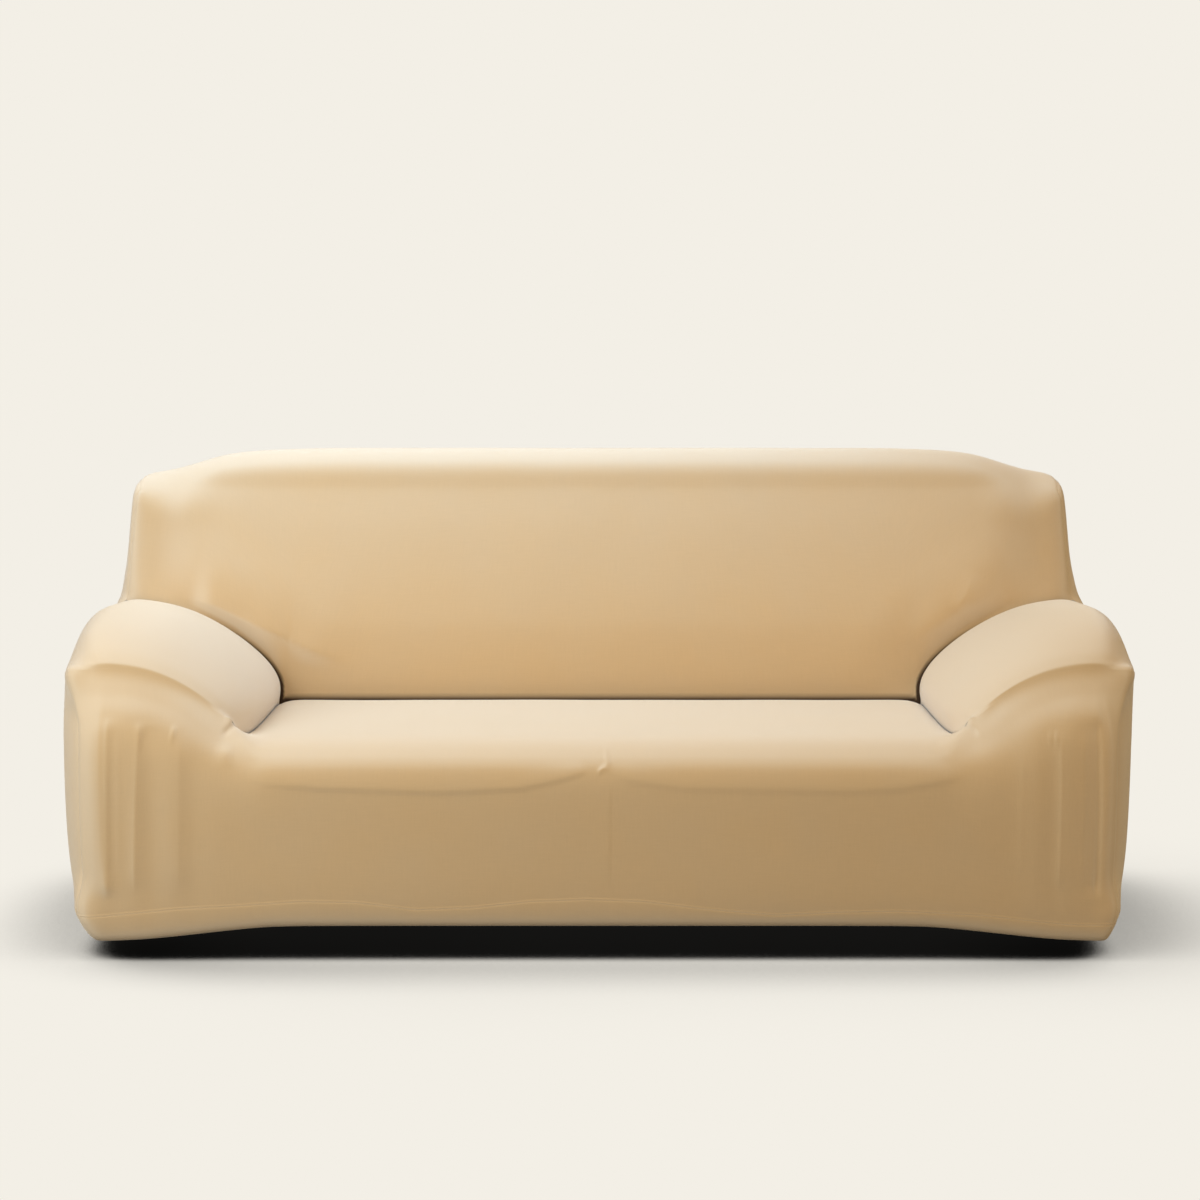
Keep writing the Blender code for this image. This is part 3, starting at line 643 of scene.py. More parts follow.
def curved(values, at):  # Catmull-Rom through the first axis, at fractional places
    last = len(values) - 1
    low = np.clip(np.floor(at).astype(int), 0, last - 1)
    share = (at - low)[..., None]
    near = [values[np.clip(low + step, 0, last)] for step in (-1, 0, 1, 2)]
    if at.ndim == 2:  # every column has its own places
        column = np.arange(at.shape[1])
        near = [values[np.clip(low + step, 0, last), column] for step in (-1, 0, 1, 2)]
    elif values.ndim == 3:
        share = share[..., None]
    before, start, end, after = near
    return start + 0.5 * share * (
        end - before
        + share * (2.0 * before - 5.0 * start + 4.0 * end - after
                   + share * (3.0 * (start - end) + after - before))
    )


def lengthAlong(points, axis):
    return np.linalg.norm(np.diff(points[..., :3], axis=axis), axis=-1)


def spread(grid, axis, spacing, stops, finer=(), seams=(True, True)):
    # Places along one axis of a refined grid, about one spacing apart, that meet every stop.
    # finer gives other spacings between two stops. At a seam the first place is just inside the
    # panel and a few close ones follow, so that the cloth can turn in there.
    step = 2 ** refining["levels"]
    lengths = lengthAlong(refined[grid], axis).max(axis=1 - axis)
    reached = np.concatenate([[0.0], np.cumsum(lengths)])
    rows = np.arange(len(reached), dtype=float)
    places = []
    for start, end in zip(stops, stops[1:]):
        gap = spacing
        for low, high, other in finer:
            if low <= start and end <= high:
                gap = other
        size = np.interp([start * step, end * step], rows, reached)
        count = max(2, math.ceil((size[1] - size[0]) / gap))
        places += list(np.linspace(start * step, end * step, count, endpoint=False))
    places = np.array(places + [stops[-1] * step])
    near = np.array([sewing["gap"] / 2.0, *sewing["turnRows"]])
    if seams[0]:
        first = np.interp(near, reached, rows)
        places = np.concatenate([first, places[places > first[-1] + sewing["clear"]]])
    if seams[1]:
        last = np.interp(reached[-1] - near[::-1], reached, rows)
        places = np.concatenate([places[places < last[0] - sewing["clear"]], last])
    return places


def sampledAcross(grid, across):  # every refined row, at the panel's own columns
    return curved(refined[grid], across)


def sampledUp(columns, up):  # up holds one row of places, or one for every column
    return curved(columns.transpose(1, 0, 2), up).transpose(1, 0, 2)


def split(made):  # points, and outward directions of unit length
    points, outward = made[..., :3].copy(), made[..., 3:]
    return points, outward / np.linalg.norm(outward, axis=-1, keepdims=True)


def fromEdge(points, axis, end):  # metres along the cloth from one edge of a grid
    lengths = lengthAlong(points, axis)
    if end:
        lengths = np.flip(lengths, axis)
    sums = np.cumsum(lengths, axis=axis)
    sums = np.concatenate([np.zeros_like(np.take(sums, [0], axis)), sums], axis=axis)
    return np.flip(sums, axis) if end else sums


def seamTurn(distance):  # the cloth turns in to the seam allowance
    return -sewing["turnDeep"] * np.exp(-((distance / sewing["turnWide"]) ** 2))


def cornerEased(distance, z, wide):  # a strip beside each front corner is turned outward
    share = smoothStep(z, *corner["low"]) * (1.0 - smoothStep(z, *corner["high"]))
    return -corner["deep"] * share * np.clip(1.0 - distance / wide, 0.0, 1.0) ** corner["power"]


def ridgeEased(distance, toEnd):  # each pad rolls softly over to the arm's front
    roll = np.exp(-((distance / ridge["wide"]) ** 2))
    return -ridge["deep"] * roll * smoothStep(toEnd, 0.0, ridge["ends"])


def gathered(distance, along, seed):  # small pulls beside a stretched seam
    draw = np.random.default_rng(seed)
    wave = 0.0
    for _ in range(sewing["pullWaves"]):
        length = draw.uniform(*sewing["pullLength"])
        wave = wave + np.sin(along * 2.0 * math.pi / length + draw.uniform(0.0, 2.0 * math.pi))
    reach = np.exp(-distance / sewing["pullReach"])
    return sewing["pullDeep"] * reach * wave / sewing["pullWaves"]


def ripple(points, seed):  # the broad unevenness of cloth over padding
    draw = np.random.default_rng(seed)
    height = np.zeros(points.shape[:2])
    for _ in range(knit["rippleWaves"]):
        turn = draw.normal(size=3)
        turn *= 2.0 * math.pi / draw.uniform(*knit["rippleLength"]) / np.linalg.norm(turn)
        height += np.sin(points @ turn + draw.uniform(0.0, 2.0 * math.pi))
    return knit["ripple"] * height / knit["rippleWaves"]


def nearPath(flat, path):
    # For each flat point: how far the path is, how far along it the nearest place lies, and
    # whether the point lies to the left of the way along it.
    distance = np.full(flat.shape[:2], np.inf)
    along = np.zeros(flat.shape[:2])
    onLeft = np.zeros(flat.shape[:2], dtype=bool)
    done = 0.0
    for start, end in zip(np.array(path), np.array(path[1:])):
        step = end - start
        size = np.linalg.norm(step)
        away = flat - start
        share = np.clip(away @ step / size**2, 0.0, 1.0)
        gap = np.linalg.norm(away - share[..., None] * step, axis=-1)
        closer = gap < distance
        distance[closer] = gap[closer]
        along[closer] = (done + share * size)[closer]
        onLeft[closer] = (step[0] * away[..., 1] - step[1] * away[..., 0] > 0.0)[closer]
        done += size
    return distance, along, onLeft, done


def folded(points, folds):
    # Listed ridges and troughs. Each follows a path in two of the three directions, x and z
    # unless it says, has its own width on either side, and dies out over its ends. A sharp one
    # comes to an edge.
    height = np.zeros(points.shape[:2])
    for fold in folds:
        flat = points[..., ["xyz".index(letter) for letter in fold.get("plane", "xz")]]
        distance, along, onLeft, total = nearPath(flat, fold["path"])
        share = distance / np.where(onLeft, *fold["sides"])
        start, end = fold["fade"]
        ends = smoothStep(along, -1e-9, start) * smoothStep(total - along, -1e-9, end)
        height += fold["high"] * np.exp(-(share if fold.get("sharp") else share**2)) * ends
    return height


def plumped(points, creases, out, full, top, sides):
    # Padding that stands out over the creases round it and flattens towards its top
    height = out * (1.0 - smoothStep(points[..., 2], *top))
    height *= 1.0 - smoothStep(np.abs(points[..., 0]), *sides)
    for path in creases:
        distance, _, above, _ = nearPath(points[..., [0, 2]], path)
        share = np.clip(np.where(above, distance, 0.0) / full, 0.0, 1.0)
        height *= 1.0 - (1.0 - share) ** 2
    return height


def gridNumbers(points, start=0):
    return start + np.arange(points.shape[0] * points.shape[1]).reshape(points.shape[:2])


def quads(numbers):
    corners = (numbers[:-1, :-1], numbers[1:, :-1], numbers[1:, 1:], numbers[:-1, 1:])
    return np.stack(corners, axis=-1).reshape(-1, 4)


def tucked(distance, between):  # 1 where the cloth lies deep in a crease, where shade is painted
    return 1.0 - smoothStep(distance, *between)


def closedSheet(name, points, outward, uv, dark, faces):
    # The outer face, the same one inside, and a rim round every open edge
    count = len(points)
    thick = knit["thick"]
    edges = np.concatenate([faces[:, [0, 1]], faces[:, [1, 2]], faces[:, [2, 3]], faces[:, [3, 0]]])
    keys = edges.min(axis=1) * count + edges.max(axis=1)
    _, first, often = np.unique(keys, return_index=True, return_counts=True)
    open_ = edges[first[often == 1]]
    rim = np.stack([open_[:, 1], open_[:, 0], open_[:, 0] + count, open_[:, 1] + count], axis=-1)
    every = np.concatenate([faces, faces[:, ::-1] + count, rim])
    mesh = bpy.data.meshes.new(name)
    inner = points - outward * thick
    mesh.from_pydata(np.concatenate([points, inner]).tolist(), [], every.tolist())
    layer = mesh.uv_layers.new(name="cloth")
    both = np.concatenate([uv, uv])
    layer.data.foreach_set("uv", both[every.reshape(-1)].astype(np.float32).ravel())
    # the painted shade deep in the creases, per point
    deep = mesh.attributes.new("tucked", "FLOAT", "POINT")
    deep.data.foreach_set("value", np.concatenate([dark, dark]).astype(np.float32))
    smooth = np.ones(len(every), dtype=bool)
    smooth[len(every) - len(rim) :] = False
    mesh.polygons.foreach_set("use_smooth", smooth)
    mesh.update()
    ends = np.empty(len(mesh.edges) * 2, dtype=int)
    mesh.edges.foreach_get("vertices", ends)
    ends = np.sort(ends.reshape(-1, 2), axis=1)
    cut = np.sort(np.concatenate([open_, open_ + count]), axis=1)
    sharp = np.isin(ends[:, 0] * 2 * count + ends[:, 1], cut[:, 0] * 2 * count + cut[:, 1])
    mesh.edges.foreach_set("use_edge_sharp", sharp)  # so that the cut edge doesn't shade the face
    mesh.materials.append(knitCloth)
    return linked(bpy.data.objects.new(name, mesh))


def clothUV(points):  # metres across from the middle, and up the cloth
    across = fromEdge(points, 0, False).mean(axis=1, keepdims=True)
    up = fromEdge(points, 1, False)
    return np.stack([np.broadcast_to(across - across[-1] / 2.0, up.shape), up], axis=-1)


sewing = {
    "gap": 0.0003,  # between two panels
    "turnRows": (0.0012, 0.0026, 0.0044),  # rows beside a seam
    "clear": 0.3,  # and the next row is at least this share of a refined step away
    "turnDeep": 0.0011,
    "turnWide": 0.0026,
    "pullDeep": 0.0006,
    "pullReach": 0.016,
    "pullWaves": 6,
    "pullLength": (0.009, 0.034),
}

corner = {
    "deep": 0.034,
    "frontWide": 0.082,
    "sideWide": 0.120,
    "power": 1.15,
    "low": (0.045, 0.135),  # heights over which it sets in
    "high": (0.41, 0.50),  # and dies out
}
ridge = {"deep": 0.0075, "wide": 0.030, "ends": 0.06}

# How far from a seam, an arm's crease, the front corners and the hem the unevenness sets in, and
# how far from the corners the pleats do
calm = {"seam": 0.05, "crease": 0.06, "side": 0.03, "hem": (0.05, 0.16), "pleat": 0.012}

hem = {
    # the stitch line across the front: width, height
    "frontLine": [
        (-1.010, 0.052), (-0.930, 0.058), (-0.868, 0.064), (-0.792, 0.072), (-0.676, 0.078),
        (-0.562, 0.086), (-0.455, 0.084), (-0.346, 0.070), (-0.240, 0.074), (-0.131, 0.086),
        (-0.024, 0.090), (0.082, 0.086), (0.191, 0.072), (0.333, 0.059), (0.442, 0.065),
        (0.562, 0.067), (0.639, 0.063), (0.715, 0.059), (0.791, 0.050), (0.868, 0.042),
        (0.930, 0.040), (1.010, 0.044),
    ],
    "above": 0.048,  # and above the hem's edge elsewhere
    "proud": 0.0011,  # the doubled cloth under the line
    "ledge": 0.0030,  # over how much height it stands out
    "grooveDeep": 0.0008,
    "grooveWide": 0.0016,
    "grooveLow": 0.0040,  # the groove below the line
    "turnedRows": 4,  # rows of the turned-in part
    "lowRows": 6,  # rows from the edge up to the closer ones across the line
    "rows": (-0.0075, -0.0058, -0.0048, -0.0040, -0.0032, -0.0022, -0.0010, 0.0004, 0.0018,
             0.0036, 0.006),
}


def hemRows(columns, lineZ, spacing):
    # Places up each column: to the turned edge, to the line, closely across it, and on up
    step = 2 ** refining["levels"]
    z = columns[..., 2]
    edge, belly = (skirtRows.index(row) * step for row in ("edge", "belly"))
    rows = np.arange(z.shape[1], dtype=float)
    lower = slice(edge, belly + 1)
    across = np.array([
        np.interp(lineZ[spot] + np.array(hem["rows"]), z[spot, lower], rows[lower])
        for spot in range(len(z))
    ])
    parts = [np.tile(np.linspace(0.0, edge, hem["turnedRows"], endpoint=False), (len(z), 1))]
    share = np.linspace(0.0, 1.0, hem["lowRows"], endpoint=False)
    parts.append(edge + (across[:, :1] - edge) * share)
    parts.append(across)
    lengths = lengthAlong(columns, 1).mean(axis=0)
    start = across[:, -1:]
    for stop in range(belly, z.shape[1], step):
        size = lengths[int(start.mean()) : stop].sum()
        share = np.linspace(0.0, 1.0, max(2, math.ceil(size / spacing)) + 1)[1:]
        parts.append(start + (stop - start) * share)
        start = parts[-1][:, -1:]
    return np.concatenate(parts, axis=1).T


def hemHeightOver(distance):  # how the doubled hem stands out, and its stitched groove
    out = hem["proud"] * (1.0 - smoothStep(distance, -hem["ledge"], 0.0))
    groove = np.exp(-(((distance + hem["grooveLow"]) / hem["grooveWide"]) ** 2))
    return out - hem["grooveDeep"] * groove


grids = formGrids()
refined = refinedGrids(grids)
print("form:", ", ".join(f"{name} {len(made)}x{len(made[0])}" for name, made in refined.items()))

# The knit: a stretch jersey with a velvety face
knit = {
    "thick": 0.0013,
    "ripple": 0.0012,  # unevenness of the cloth
    "rippleWaves": 9,
    "rippleLength": (0.14, 0.42),
    "colour": (0.655, 0.490, 0.305),
    "warm": (0.665, 0.488, 0.292),  # towards this in places
    "roughness": 0.82,
    "sheen": 0.9,
    "sheenRoughness": 0.42,
    "sheenTint": (1.0, 0.975, 0.94),
    "paintedSheen": 0.36,  # painted sheen: how much paler a face that is turned away is painted
    "paintedSheenFrom": (0.015, 0.23),
    "paintedSheenColour": (0.875, 0.820, 0.730),
    "creaseShadeColour": (0.050, 0.026, 0.012),  # painted shade deep in a crease
    "stitch": 0.0016,
    "stitchBump": 0.25,
    "stitchHeight": 0.0004,
    "slub": 0.022,  # how much a thicker yarn shows
    "slubBump": 0.8,  # its height, over a stitch's
    "slubWide": 0.0024,
    "slubLong": 0.045,
    "slubRough": 0.05,
    "patches": 7.0,  # scale of the warm patches
    "specular": 0.25,
}
noiseRange = (0.3, 0.7)  # where a noise's values mostly lie


def worked(tree, operation, *values):
    return newNode(tree, "ShaderNodeMath", dict(enumerate(values)), operation=operation).outputs[0]


def noise(tree, vector, scale, detail):
    made = newNode(tree, "ShaderNodeTexNoise", {"Vector": vector, "Scale": scale, "Detail": detail})
    return made.outputs[0]


def ranged(tree, value, low, high):
    made = newNode(tree, "ShaderNodeMapRange", {
        "Value": value, "From Min": noiseRange[0], "From Max": noiseRange[1],
        "To Min": low, "To Max": high})
    return made.outputs[0]


def mixed(tree, first, second, share):
    made = newNode(tree, "ShaderNodeMix", {"A": first, "B": second, "Factor": share},
                   data_type="RGBA")
    return made.outputs["Result"]


def newMaterial(name):  # its node tree and its shader too
    material = bpy.data.materials.new(name)
    material.use_nodes = True
    return material, material.node_tree, material.node_tree.nodes["Principled BSDF"]


def addSockets(tree, sockets):
    for name, way, kind in sockets:
        tree.interface.new_socket(name=name, in_out=way, socket_type="NodeSocket" + kind)


def weaveGroup():
    # Courses and wales of the knit, and thicker yarns both ways, on a map in metres
    tree = bpy.data.node_groups.new("knit_weave", "ShaderNodeTree")
    addSockets(tree, [
        ("Cloth", "INPUT", "Vector"), ("Stitch", "INPUT", "Float"),
        ("Slub Wide", "INPUT", "Float"), ("Slub Long", "INPUT", "Float"),
        ("Slub", "OUTPUT", "Float"), ("Stitches", "OUTPUT", "Float"),
        ("Patches", "OUTPUT", "Float"),
    ])
    given = newNode(tree, "NodeGroupInput")
    parts = newNode(tree, "ShaderNodeSeparateXYZ", {0: given.outputs["Cloth"]})
    across, up = parts.outputs["X"], parts.outputs["Y"]
    turns = worked(tree, "DIVIDE", 2.0 * math.pi, given.outputs["Stitch"])
    wale = worked(tree, "ABSOLUTE", worked(tree, "SINE", worked(tree, "MULTIPLY", across, turns)))
    shift = worked(tree, "MULTIPLY", wale, 1.4)  # each loop leans into the next course
    course = worked(tree, "ADD", worked(tree, "MULTIPLY", up, turns), shift)
    loops = worked(tree, "MULTIPLY", worked(tree, "SINE", course), wale)
    slubs = []
    for first, second in ((across, up), (up, across)):
        wide = worked(tree, "DIVIDE", first, given.outputs["Slub Wide"])
        long = worked(tree, "DIVIDE", second, given.outputs["Slub Long"])
        both = newNode(tree, "ShaderNodeCombineXYZ", {"X": wide, "Y": long})
        slubs.append(noise(tree, both.outputs[0], 1.0, 2.0))
    newNode(tree, "NodeGroupOutput", {
        "Slub": worked(tree, "MULTIPLY", worked(tree, "ADD", *slubs), 0.5),
        "Stitches": loops,
        "Patches": noise(tree, given.outputs["Cloth"], knit["patches"], 3.0)})
    return tree


def knitMaterial(name, weave):
    material, tree, shader = newMaterial(name)
    cloth = newNode(tree, "ShaderNodeUVMap", uv_map="cloth")
    pattern = newNode(tree, "ShaderNodeGroup", node_tree=weave)
    setInputs(tree, pattern, {
        "Cloth": cloth.outputs[0], "Stitch": knit["stitch"],
        "Slub Wide": knit["slubWide"], "Slub Long": knit["slubLong"]})
    yarn, patches = pattern.outputs["Slub"], pattern.outputs["Patches"]
    warmth = ranged(tree, patches, 0.0, 1.0)
    tint = mixed(tree, opaque(knit["colour"]), opaque(knit["warm"]), warmth)
    slub = ranged(tree, yarn, 1.0 - knit["slub"], 1.0 + knit["slub"])
    shade = newNode(tree, "ShaderNodeHueSaturation", {"Color": tint, "Value": slub})
    # painted sheen: faces turned away from the view are painted paler
    turned = newNode(tree, "ShaderNodeLayerWeight", {"Blend": 0.5})
    low, high = knit["paintedSheenFrom"]
    paintedSheen = newNode(tree, "ShaderNodeMapRange", {
        "Value": turned.outputs["Facing"], "From Min": low, "From Max": high,
        "To Max": knit["paintedSheen"]}, interpolation_type="SMOOTHSTEP")
    pale = mixed(tree, shade.outputs[0], opaque(knit["paintedSheenColour"]), paintedSheen.outputs[0])
    # painted shade: the colour is darkened deep in the creases
    deep = newNode(tree, "ShaderNodeAttribute", attribute_name="tucked")
    height = worked(tree, "ADD", pattern.outputs["Stitches"],
                    worked(tree, "MULTIPLY", yarn, knit["slubBump"]))
    bump = newNode(tree, "ShaderNodeBump", {
        "Strength": knit["stitchBump"], "Distance": knit["stitchHeight"], "Height": height})
    setInputs(tree, shader, {
        "Base Color": mixed(tree, pale, opaque(knit["creaseShadeColour"]), deep.outputs["Fac"]),
        "Roughness": ranged(tree, yarn, knit["roughness"] - knit["slubRough"],
                            knit["roughness"] + knit["slubRough"]),
        "Normal": bump.outputs[0],
        "Specular IOR Level": knit["specular"],
        "Sheen Weight": knit["sheen"],
        "Sheen Roughness": knit["sheenRoughness"],
        "Sheen Tint": opaque(knit["sheenTint"])})
    return material


knitCloth = knitMaterial("knit_golden_beige", weaveGroup())
print("material: knit")


def finished(piece, node):
    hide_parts(node)
    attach(piece, "root")
    triangles = sum(len(face.vertices) - 2 for face in piece.data.polygons)
    print(f"{piece.name}: {triangles} triangles")


# The front of the seat and of both arms, and the seat: one T-shaped cut
seatFront = {
    "flat": (2.10, 1.08),
    "area": 1.57,
    "spacing": 0.0078,
    "armSpacing": 0.0048,
    "upSpacing": 0.0058,
    "seatSpacing": 0.0105,
    "centre": 0.12,  # this much of a cage cell beside the centre line is finer
    "centreSpacing": 0.0025,
    "seed": 11,
    # how far from the creases at the arms and at the back the painted shade reaches
    "armCreaseShade": (0.0005, 0.0045),
    "backCreaseShade": (0.012, 0.022),
    "folds": [
        # left arm: flat pleats of stretched cloth, each with a sharp edge and a long soft side
        {"path": [(-0.921, 0.085), (-0.920, 0.250), (-0.917, 0.430)], "sharp": True,
         "sides": (0.016, 0.015), "high": 0.0052, "fade": (0.030, 0.030)},
        {"path": [(-0.898, 0.120), (-0.896, 0.405)], "sharp": True,
         "sides": (0.006, 0.009), "high": 0.0011, "fade": (0.060, 0.030)},
        {"path": [(-0.870, 0.090), (-0.866, 0.250), (-0.859, 0.420)], "sharp": True,
         "sides": (0.010, 0.016), "high": 0.0032, "fade": (0.060, 0.020)},
        {"path": [(-0.852, 0.345), (-0.846, 0.412)],
         "sides": (0.008, 0.020), "high": -0.0016, "fade": (0.040, 0.014)},
        {"path": [(-0.788, 0.090), (-0.784, 0.250), (-0.784, 0.400)], "sharp": True,
         "sides": (0.028, 0.026), "high": 0.0026, "fade": (0.060, 0.050)},
        {"path": [(-0.800, 0.376), (-0.795, 0.412)],
         "sides": (0.004, 0.0045), "high": 0.0020, "fade": (0.018, 0.012)},
        # right arm
        {"path": [(0.785, 0.100), (0.786, 0.250), (0.790, 0.385)], "sharp": True,
         "sides": (0.026, 0.026), "high": 0.0018, "fade": (0.070, 0.060)},
        {"path": [(0.857, 0.090), (0.859, 0.250), (0.859, 0.405)], "sharp": True,
         "sides": (0.010, 0.016), "high": 0.0030, "fade": (0.060, 0.030)},
        {"path": [(0.899, 0.095), (0.901, 0.250), (0.901, 0.405)], "sharp": True,
         "sides": (0.010, 0.012), "high": 0.0016, "fade": (0.060, 0.030)},
        {"path": [(0.929, 0.085), (0.930, 0.250), (0.929, 0.430)], "sharp": True,
         "sides": (0.018, 0.006), "high": -0.0060, "fade": (0.030, 0.030)},
        {"path": [(0.838, 0.374), (0.841, 0.402)],
         "sides": (0.004, 0.004), "high": 0.0016, "fade": (0.014, 0.012)},
        {"path": [(0.849, 0.368), (0.853, 0.404)],
         "sides": (0.005, 0.004), "high": 0.0020, "fade": (0.018, 0.012)},
        {"path": [(0.955, 0.370), (0.951, 0.430), (0.942, 0.470)],
         "sides": (0.006, 0.010), "high": 0.0014, "fade": (0.040, 0.030)},
        # the lower edge of the seat's padding under the cloth
        {"path": [(-0.672, 0.321), (-0.627, 0.306), (-0.523, 0.298), (-0.299, 0.291),
                  (-0.149, 0.298), (-0.075, 0.314), (-0.018, 0.330)],
         "sides": (0.020, 0.0045), "high": 0.0022, "fade": (0.120, 0.030)},
        {"path": [(0.022, 0.328), (0.062, 0.312), (0.155, 0.298), (0.467, 0.293),
                  (0.560, 0.298), (0.653, 0.314), (0.705, 0.331)],
         "sides": (0.018, 0.006), "high": 0.0016, "fade": (0.040, 0.080)},
        # the small pull at the centre
        {"path": [(-0.006, 0.322), (0.004, 0.333), (0.012, 0.340)],
         "sides": (0.004, 0.004), "high": 0.0022, "fade": (0.010, 0.010)},
        {"path": [(0.008, 0.324), (0.014, 0.345), (0.008, 0.378)],
         "sides": (0.004, 0.006), "high": 0.0014, "fade": (0.010, 0.030)},
        {"path": [(0.016, 0.100), (0.018, 0.318)],
         "sides": (0.030, 0.003), "high": 0.0006, "fade": (0.050, 0.040)},
        # pulls where the creases beside the seat end
        {"path": [(-0.712, 0.386), (-0.698, 0.398), (-0.684, 0.408)],
         "sides": (0.005, 0.006), "high": -0.0040, "fade": (0.016, 0.002)},
        {"path": [(-0.702, 0.322), (-0.696, 0.386)],
         "sides": (0.016, 0.012), "high": 0.0030, "fade": (0.040, 0.030)},
        {"path": [(0.684, 0.408), (0.698, 0.400), (0.712, 0.388)],
         "sides": (0.004, 0.006), "high": -0.0034, "fade": (0.002, 0.014)},
    ],
    # the seat's front edge is rounder than the form's
    "roll": [
        {"plane": "yz", "path": [(-0.420, 0.356), (-0.412, 0.361)],
         "sides": (0.034, 0.034), "high": -0.0055, "fade": (0.0, 0.0)},
    ],
}


def makeSeatFront():
    size = seatFront
    step = 2 ** refining["levels"]
    arm = len(armNames) - 1
    middle = 2 * len(seatColumns)
    centre = arm + middle // 2
    last = 2 * arm + middle
    near = size["centre"]
    stops = [*range(centre), centre - near, centre + near, *range(centre + 1, last + 1)]
    finer = [(0, arm, size["armSpacing"]), (arm + middle, last, size["armSpacing"]),
             (centre - near, centre + near, size["centreSpacing"])]
    stops = sorted(set(stops) - {centre})
    across = spread("front", 0, size["spacing"], stops, finer)
    inMiddle = (across >= arm * step - 1e-9) & (across <= (arm + middle) * step + 1e-9)
    columns = sampledAcross("front", across)
    lineX, lineZ = np.array(hem["frontLine"]).T
    heights = np.interp(columns[:, step, 0], lineX, lineZ)
    up = hemRows(columns, heights, size["upSpacing"])
    frontPoints, frontOut = split(sampledUp(columns, up))
    seatAcross = across[inMiddle] - arm * step
    seatUp = spread("seat", 1, size["seatSpacing"], range(len(seatRows)), seams=(False, True))
    seatPoints, seatOut = split(sampledUp(sampledAcross("seat", seatAcross), seatUp))
    seatPoints[:, 0] = frontPoints[inMiddle, -1]
    seatOut[:, 0] = frontOut[inMiddle, -1]

    uvFront = clothUV(frontPoints)
    uvSeat = clothUV(seatPoints)
    uvSeat[..., 0] = uvFront[inMiddle, -1, 0][:, None]
    uvSeat[..., 1] += uvFront[inMiddle, -1, 1][:, None]

    side = np.minimum(fromEdge(frontPoints, 0, False), fromEdge(frontPoints, 0, True))
    toArm = np.minimum(fromEdge(seatPoints, 0, False), fromEdge(seatPoints, 0, True))
    toBack = fromEdge(seatPoints, 1, True)
    pastCrease = np.abs(frontPoints[..., 0]) - armColumns["tuck"]["front"]
    between = smoothStep(-pastCrease, 0.0, calm["crease"])
    toRidge = fromEdge(frontPoints, 1, True)
    away = np.maximum(between, smoothStep(toRidge, 0.0, calm["seam"]))
    away *= smoothStep(side, 0.0, calm["side"]) * smoothStep(frontPoints[..., 2], *calm["hem"])
    seed = size["seed"]
    high = folded(frontPoints, size["folds"]) * smoothStep(side, 0.0, calm["pleat"])
    high += folded(frontPoints, size["roll"]) * between + ripple(frontPoints, seed) * away
    overLine = frontPoints[..., 2] - np.interp(frontPoints[..., 0], lineX, lineZ)
    high += hemHeightOver(overLine) + seamTurn(side)
    high += cornerEased(side, frontPoints[..., 2], corner["frontWide"])
    high += ridgeEased(toRidge, np.minimum(pastCrease, side))
    inner = smoothStep(toArm, 0.0, calm["crease"])
    seatHigh = folded(seatPoints, size["folds"])
    seatHigh += folded(seatPoints, size["roll"]) * inner + ripple(seatPoints, seed) * inner
    seatHigh += (gathered(toArm, seatPoints[..., 1], seed + 2)
                 + gathered(toBack, seatPoints[..., 0], seed + 3))
    seatHigh[:, 0] = high[inMiddle, -1]
    # painted shade deep in the creases beside the arms and at the back
    dark = np.maximum(tucked(toArm, size["armCreaseShade"]), tucked(toBack, size["backCreaseShade"]))

    frontPoints += frontOut * high[..., None]
    seatPoints += seatOut * seatHigh[..., None]
    frontIndex = gridNumbers(frontPoints)
    seatIndex = np.empty(seatPoints.shape[:2], dtype=int)
    seatIndex[:, 0] = frontIndex[inMiddle, -1]
    seatIndex[:, 1:] = gridNumbers(seatPoints[:, 1:], frontIndex.size)
    faces = np.concatenate([quads(frontIndex), quads(seatIndex)])
    points = np.concatenate([frontPoints.reshape(-1, 3), seatPoints[:, 1:].reshape(-1, 3)])
    outward = np.concatenate([frontOut.reshape(-1, 3), seatOut[:, 1:].reshape(-1, 3)])
    uv = np.concatenate([uvFront.reshape(-1, 2), uvSeat[:, 1:].reshape(-1, 2)])
    dark = np.concatenate([np.zeros(frontIndex.size), dark[:, 1:].ravel()])
    piece = closedSheet("seat_front_cloth", points, outward, uv, dark, faces)
    finished(piece, "seat_front")
    return frontPoints, frontOut


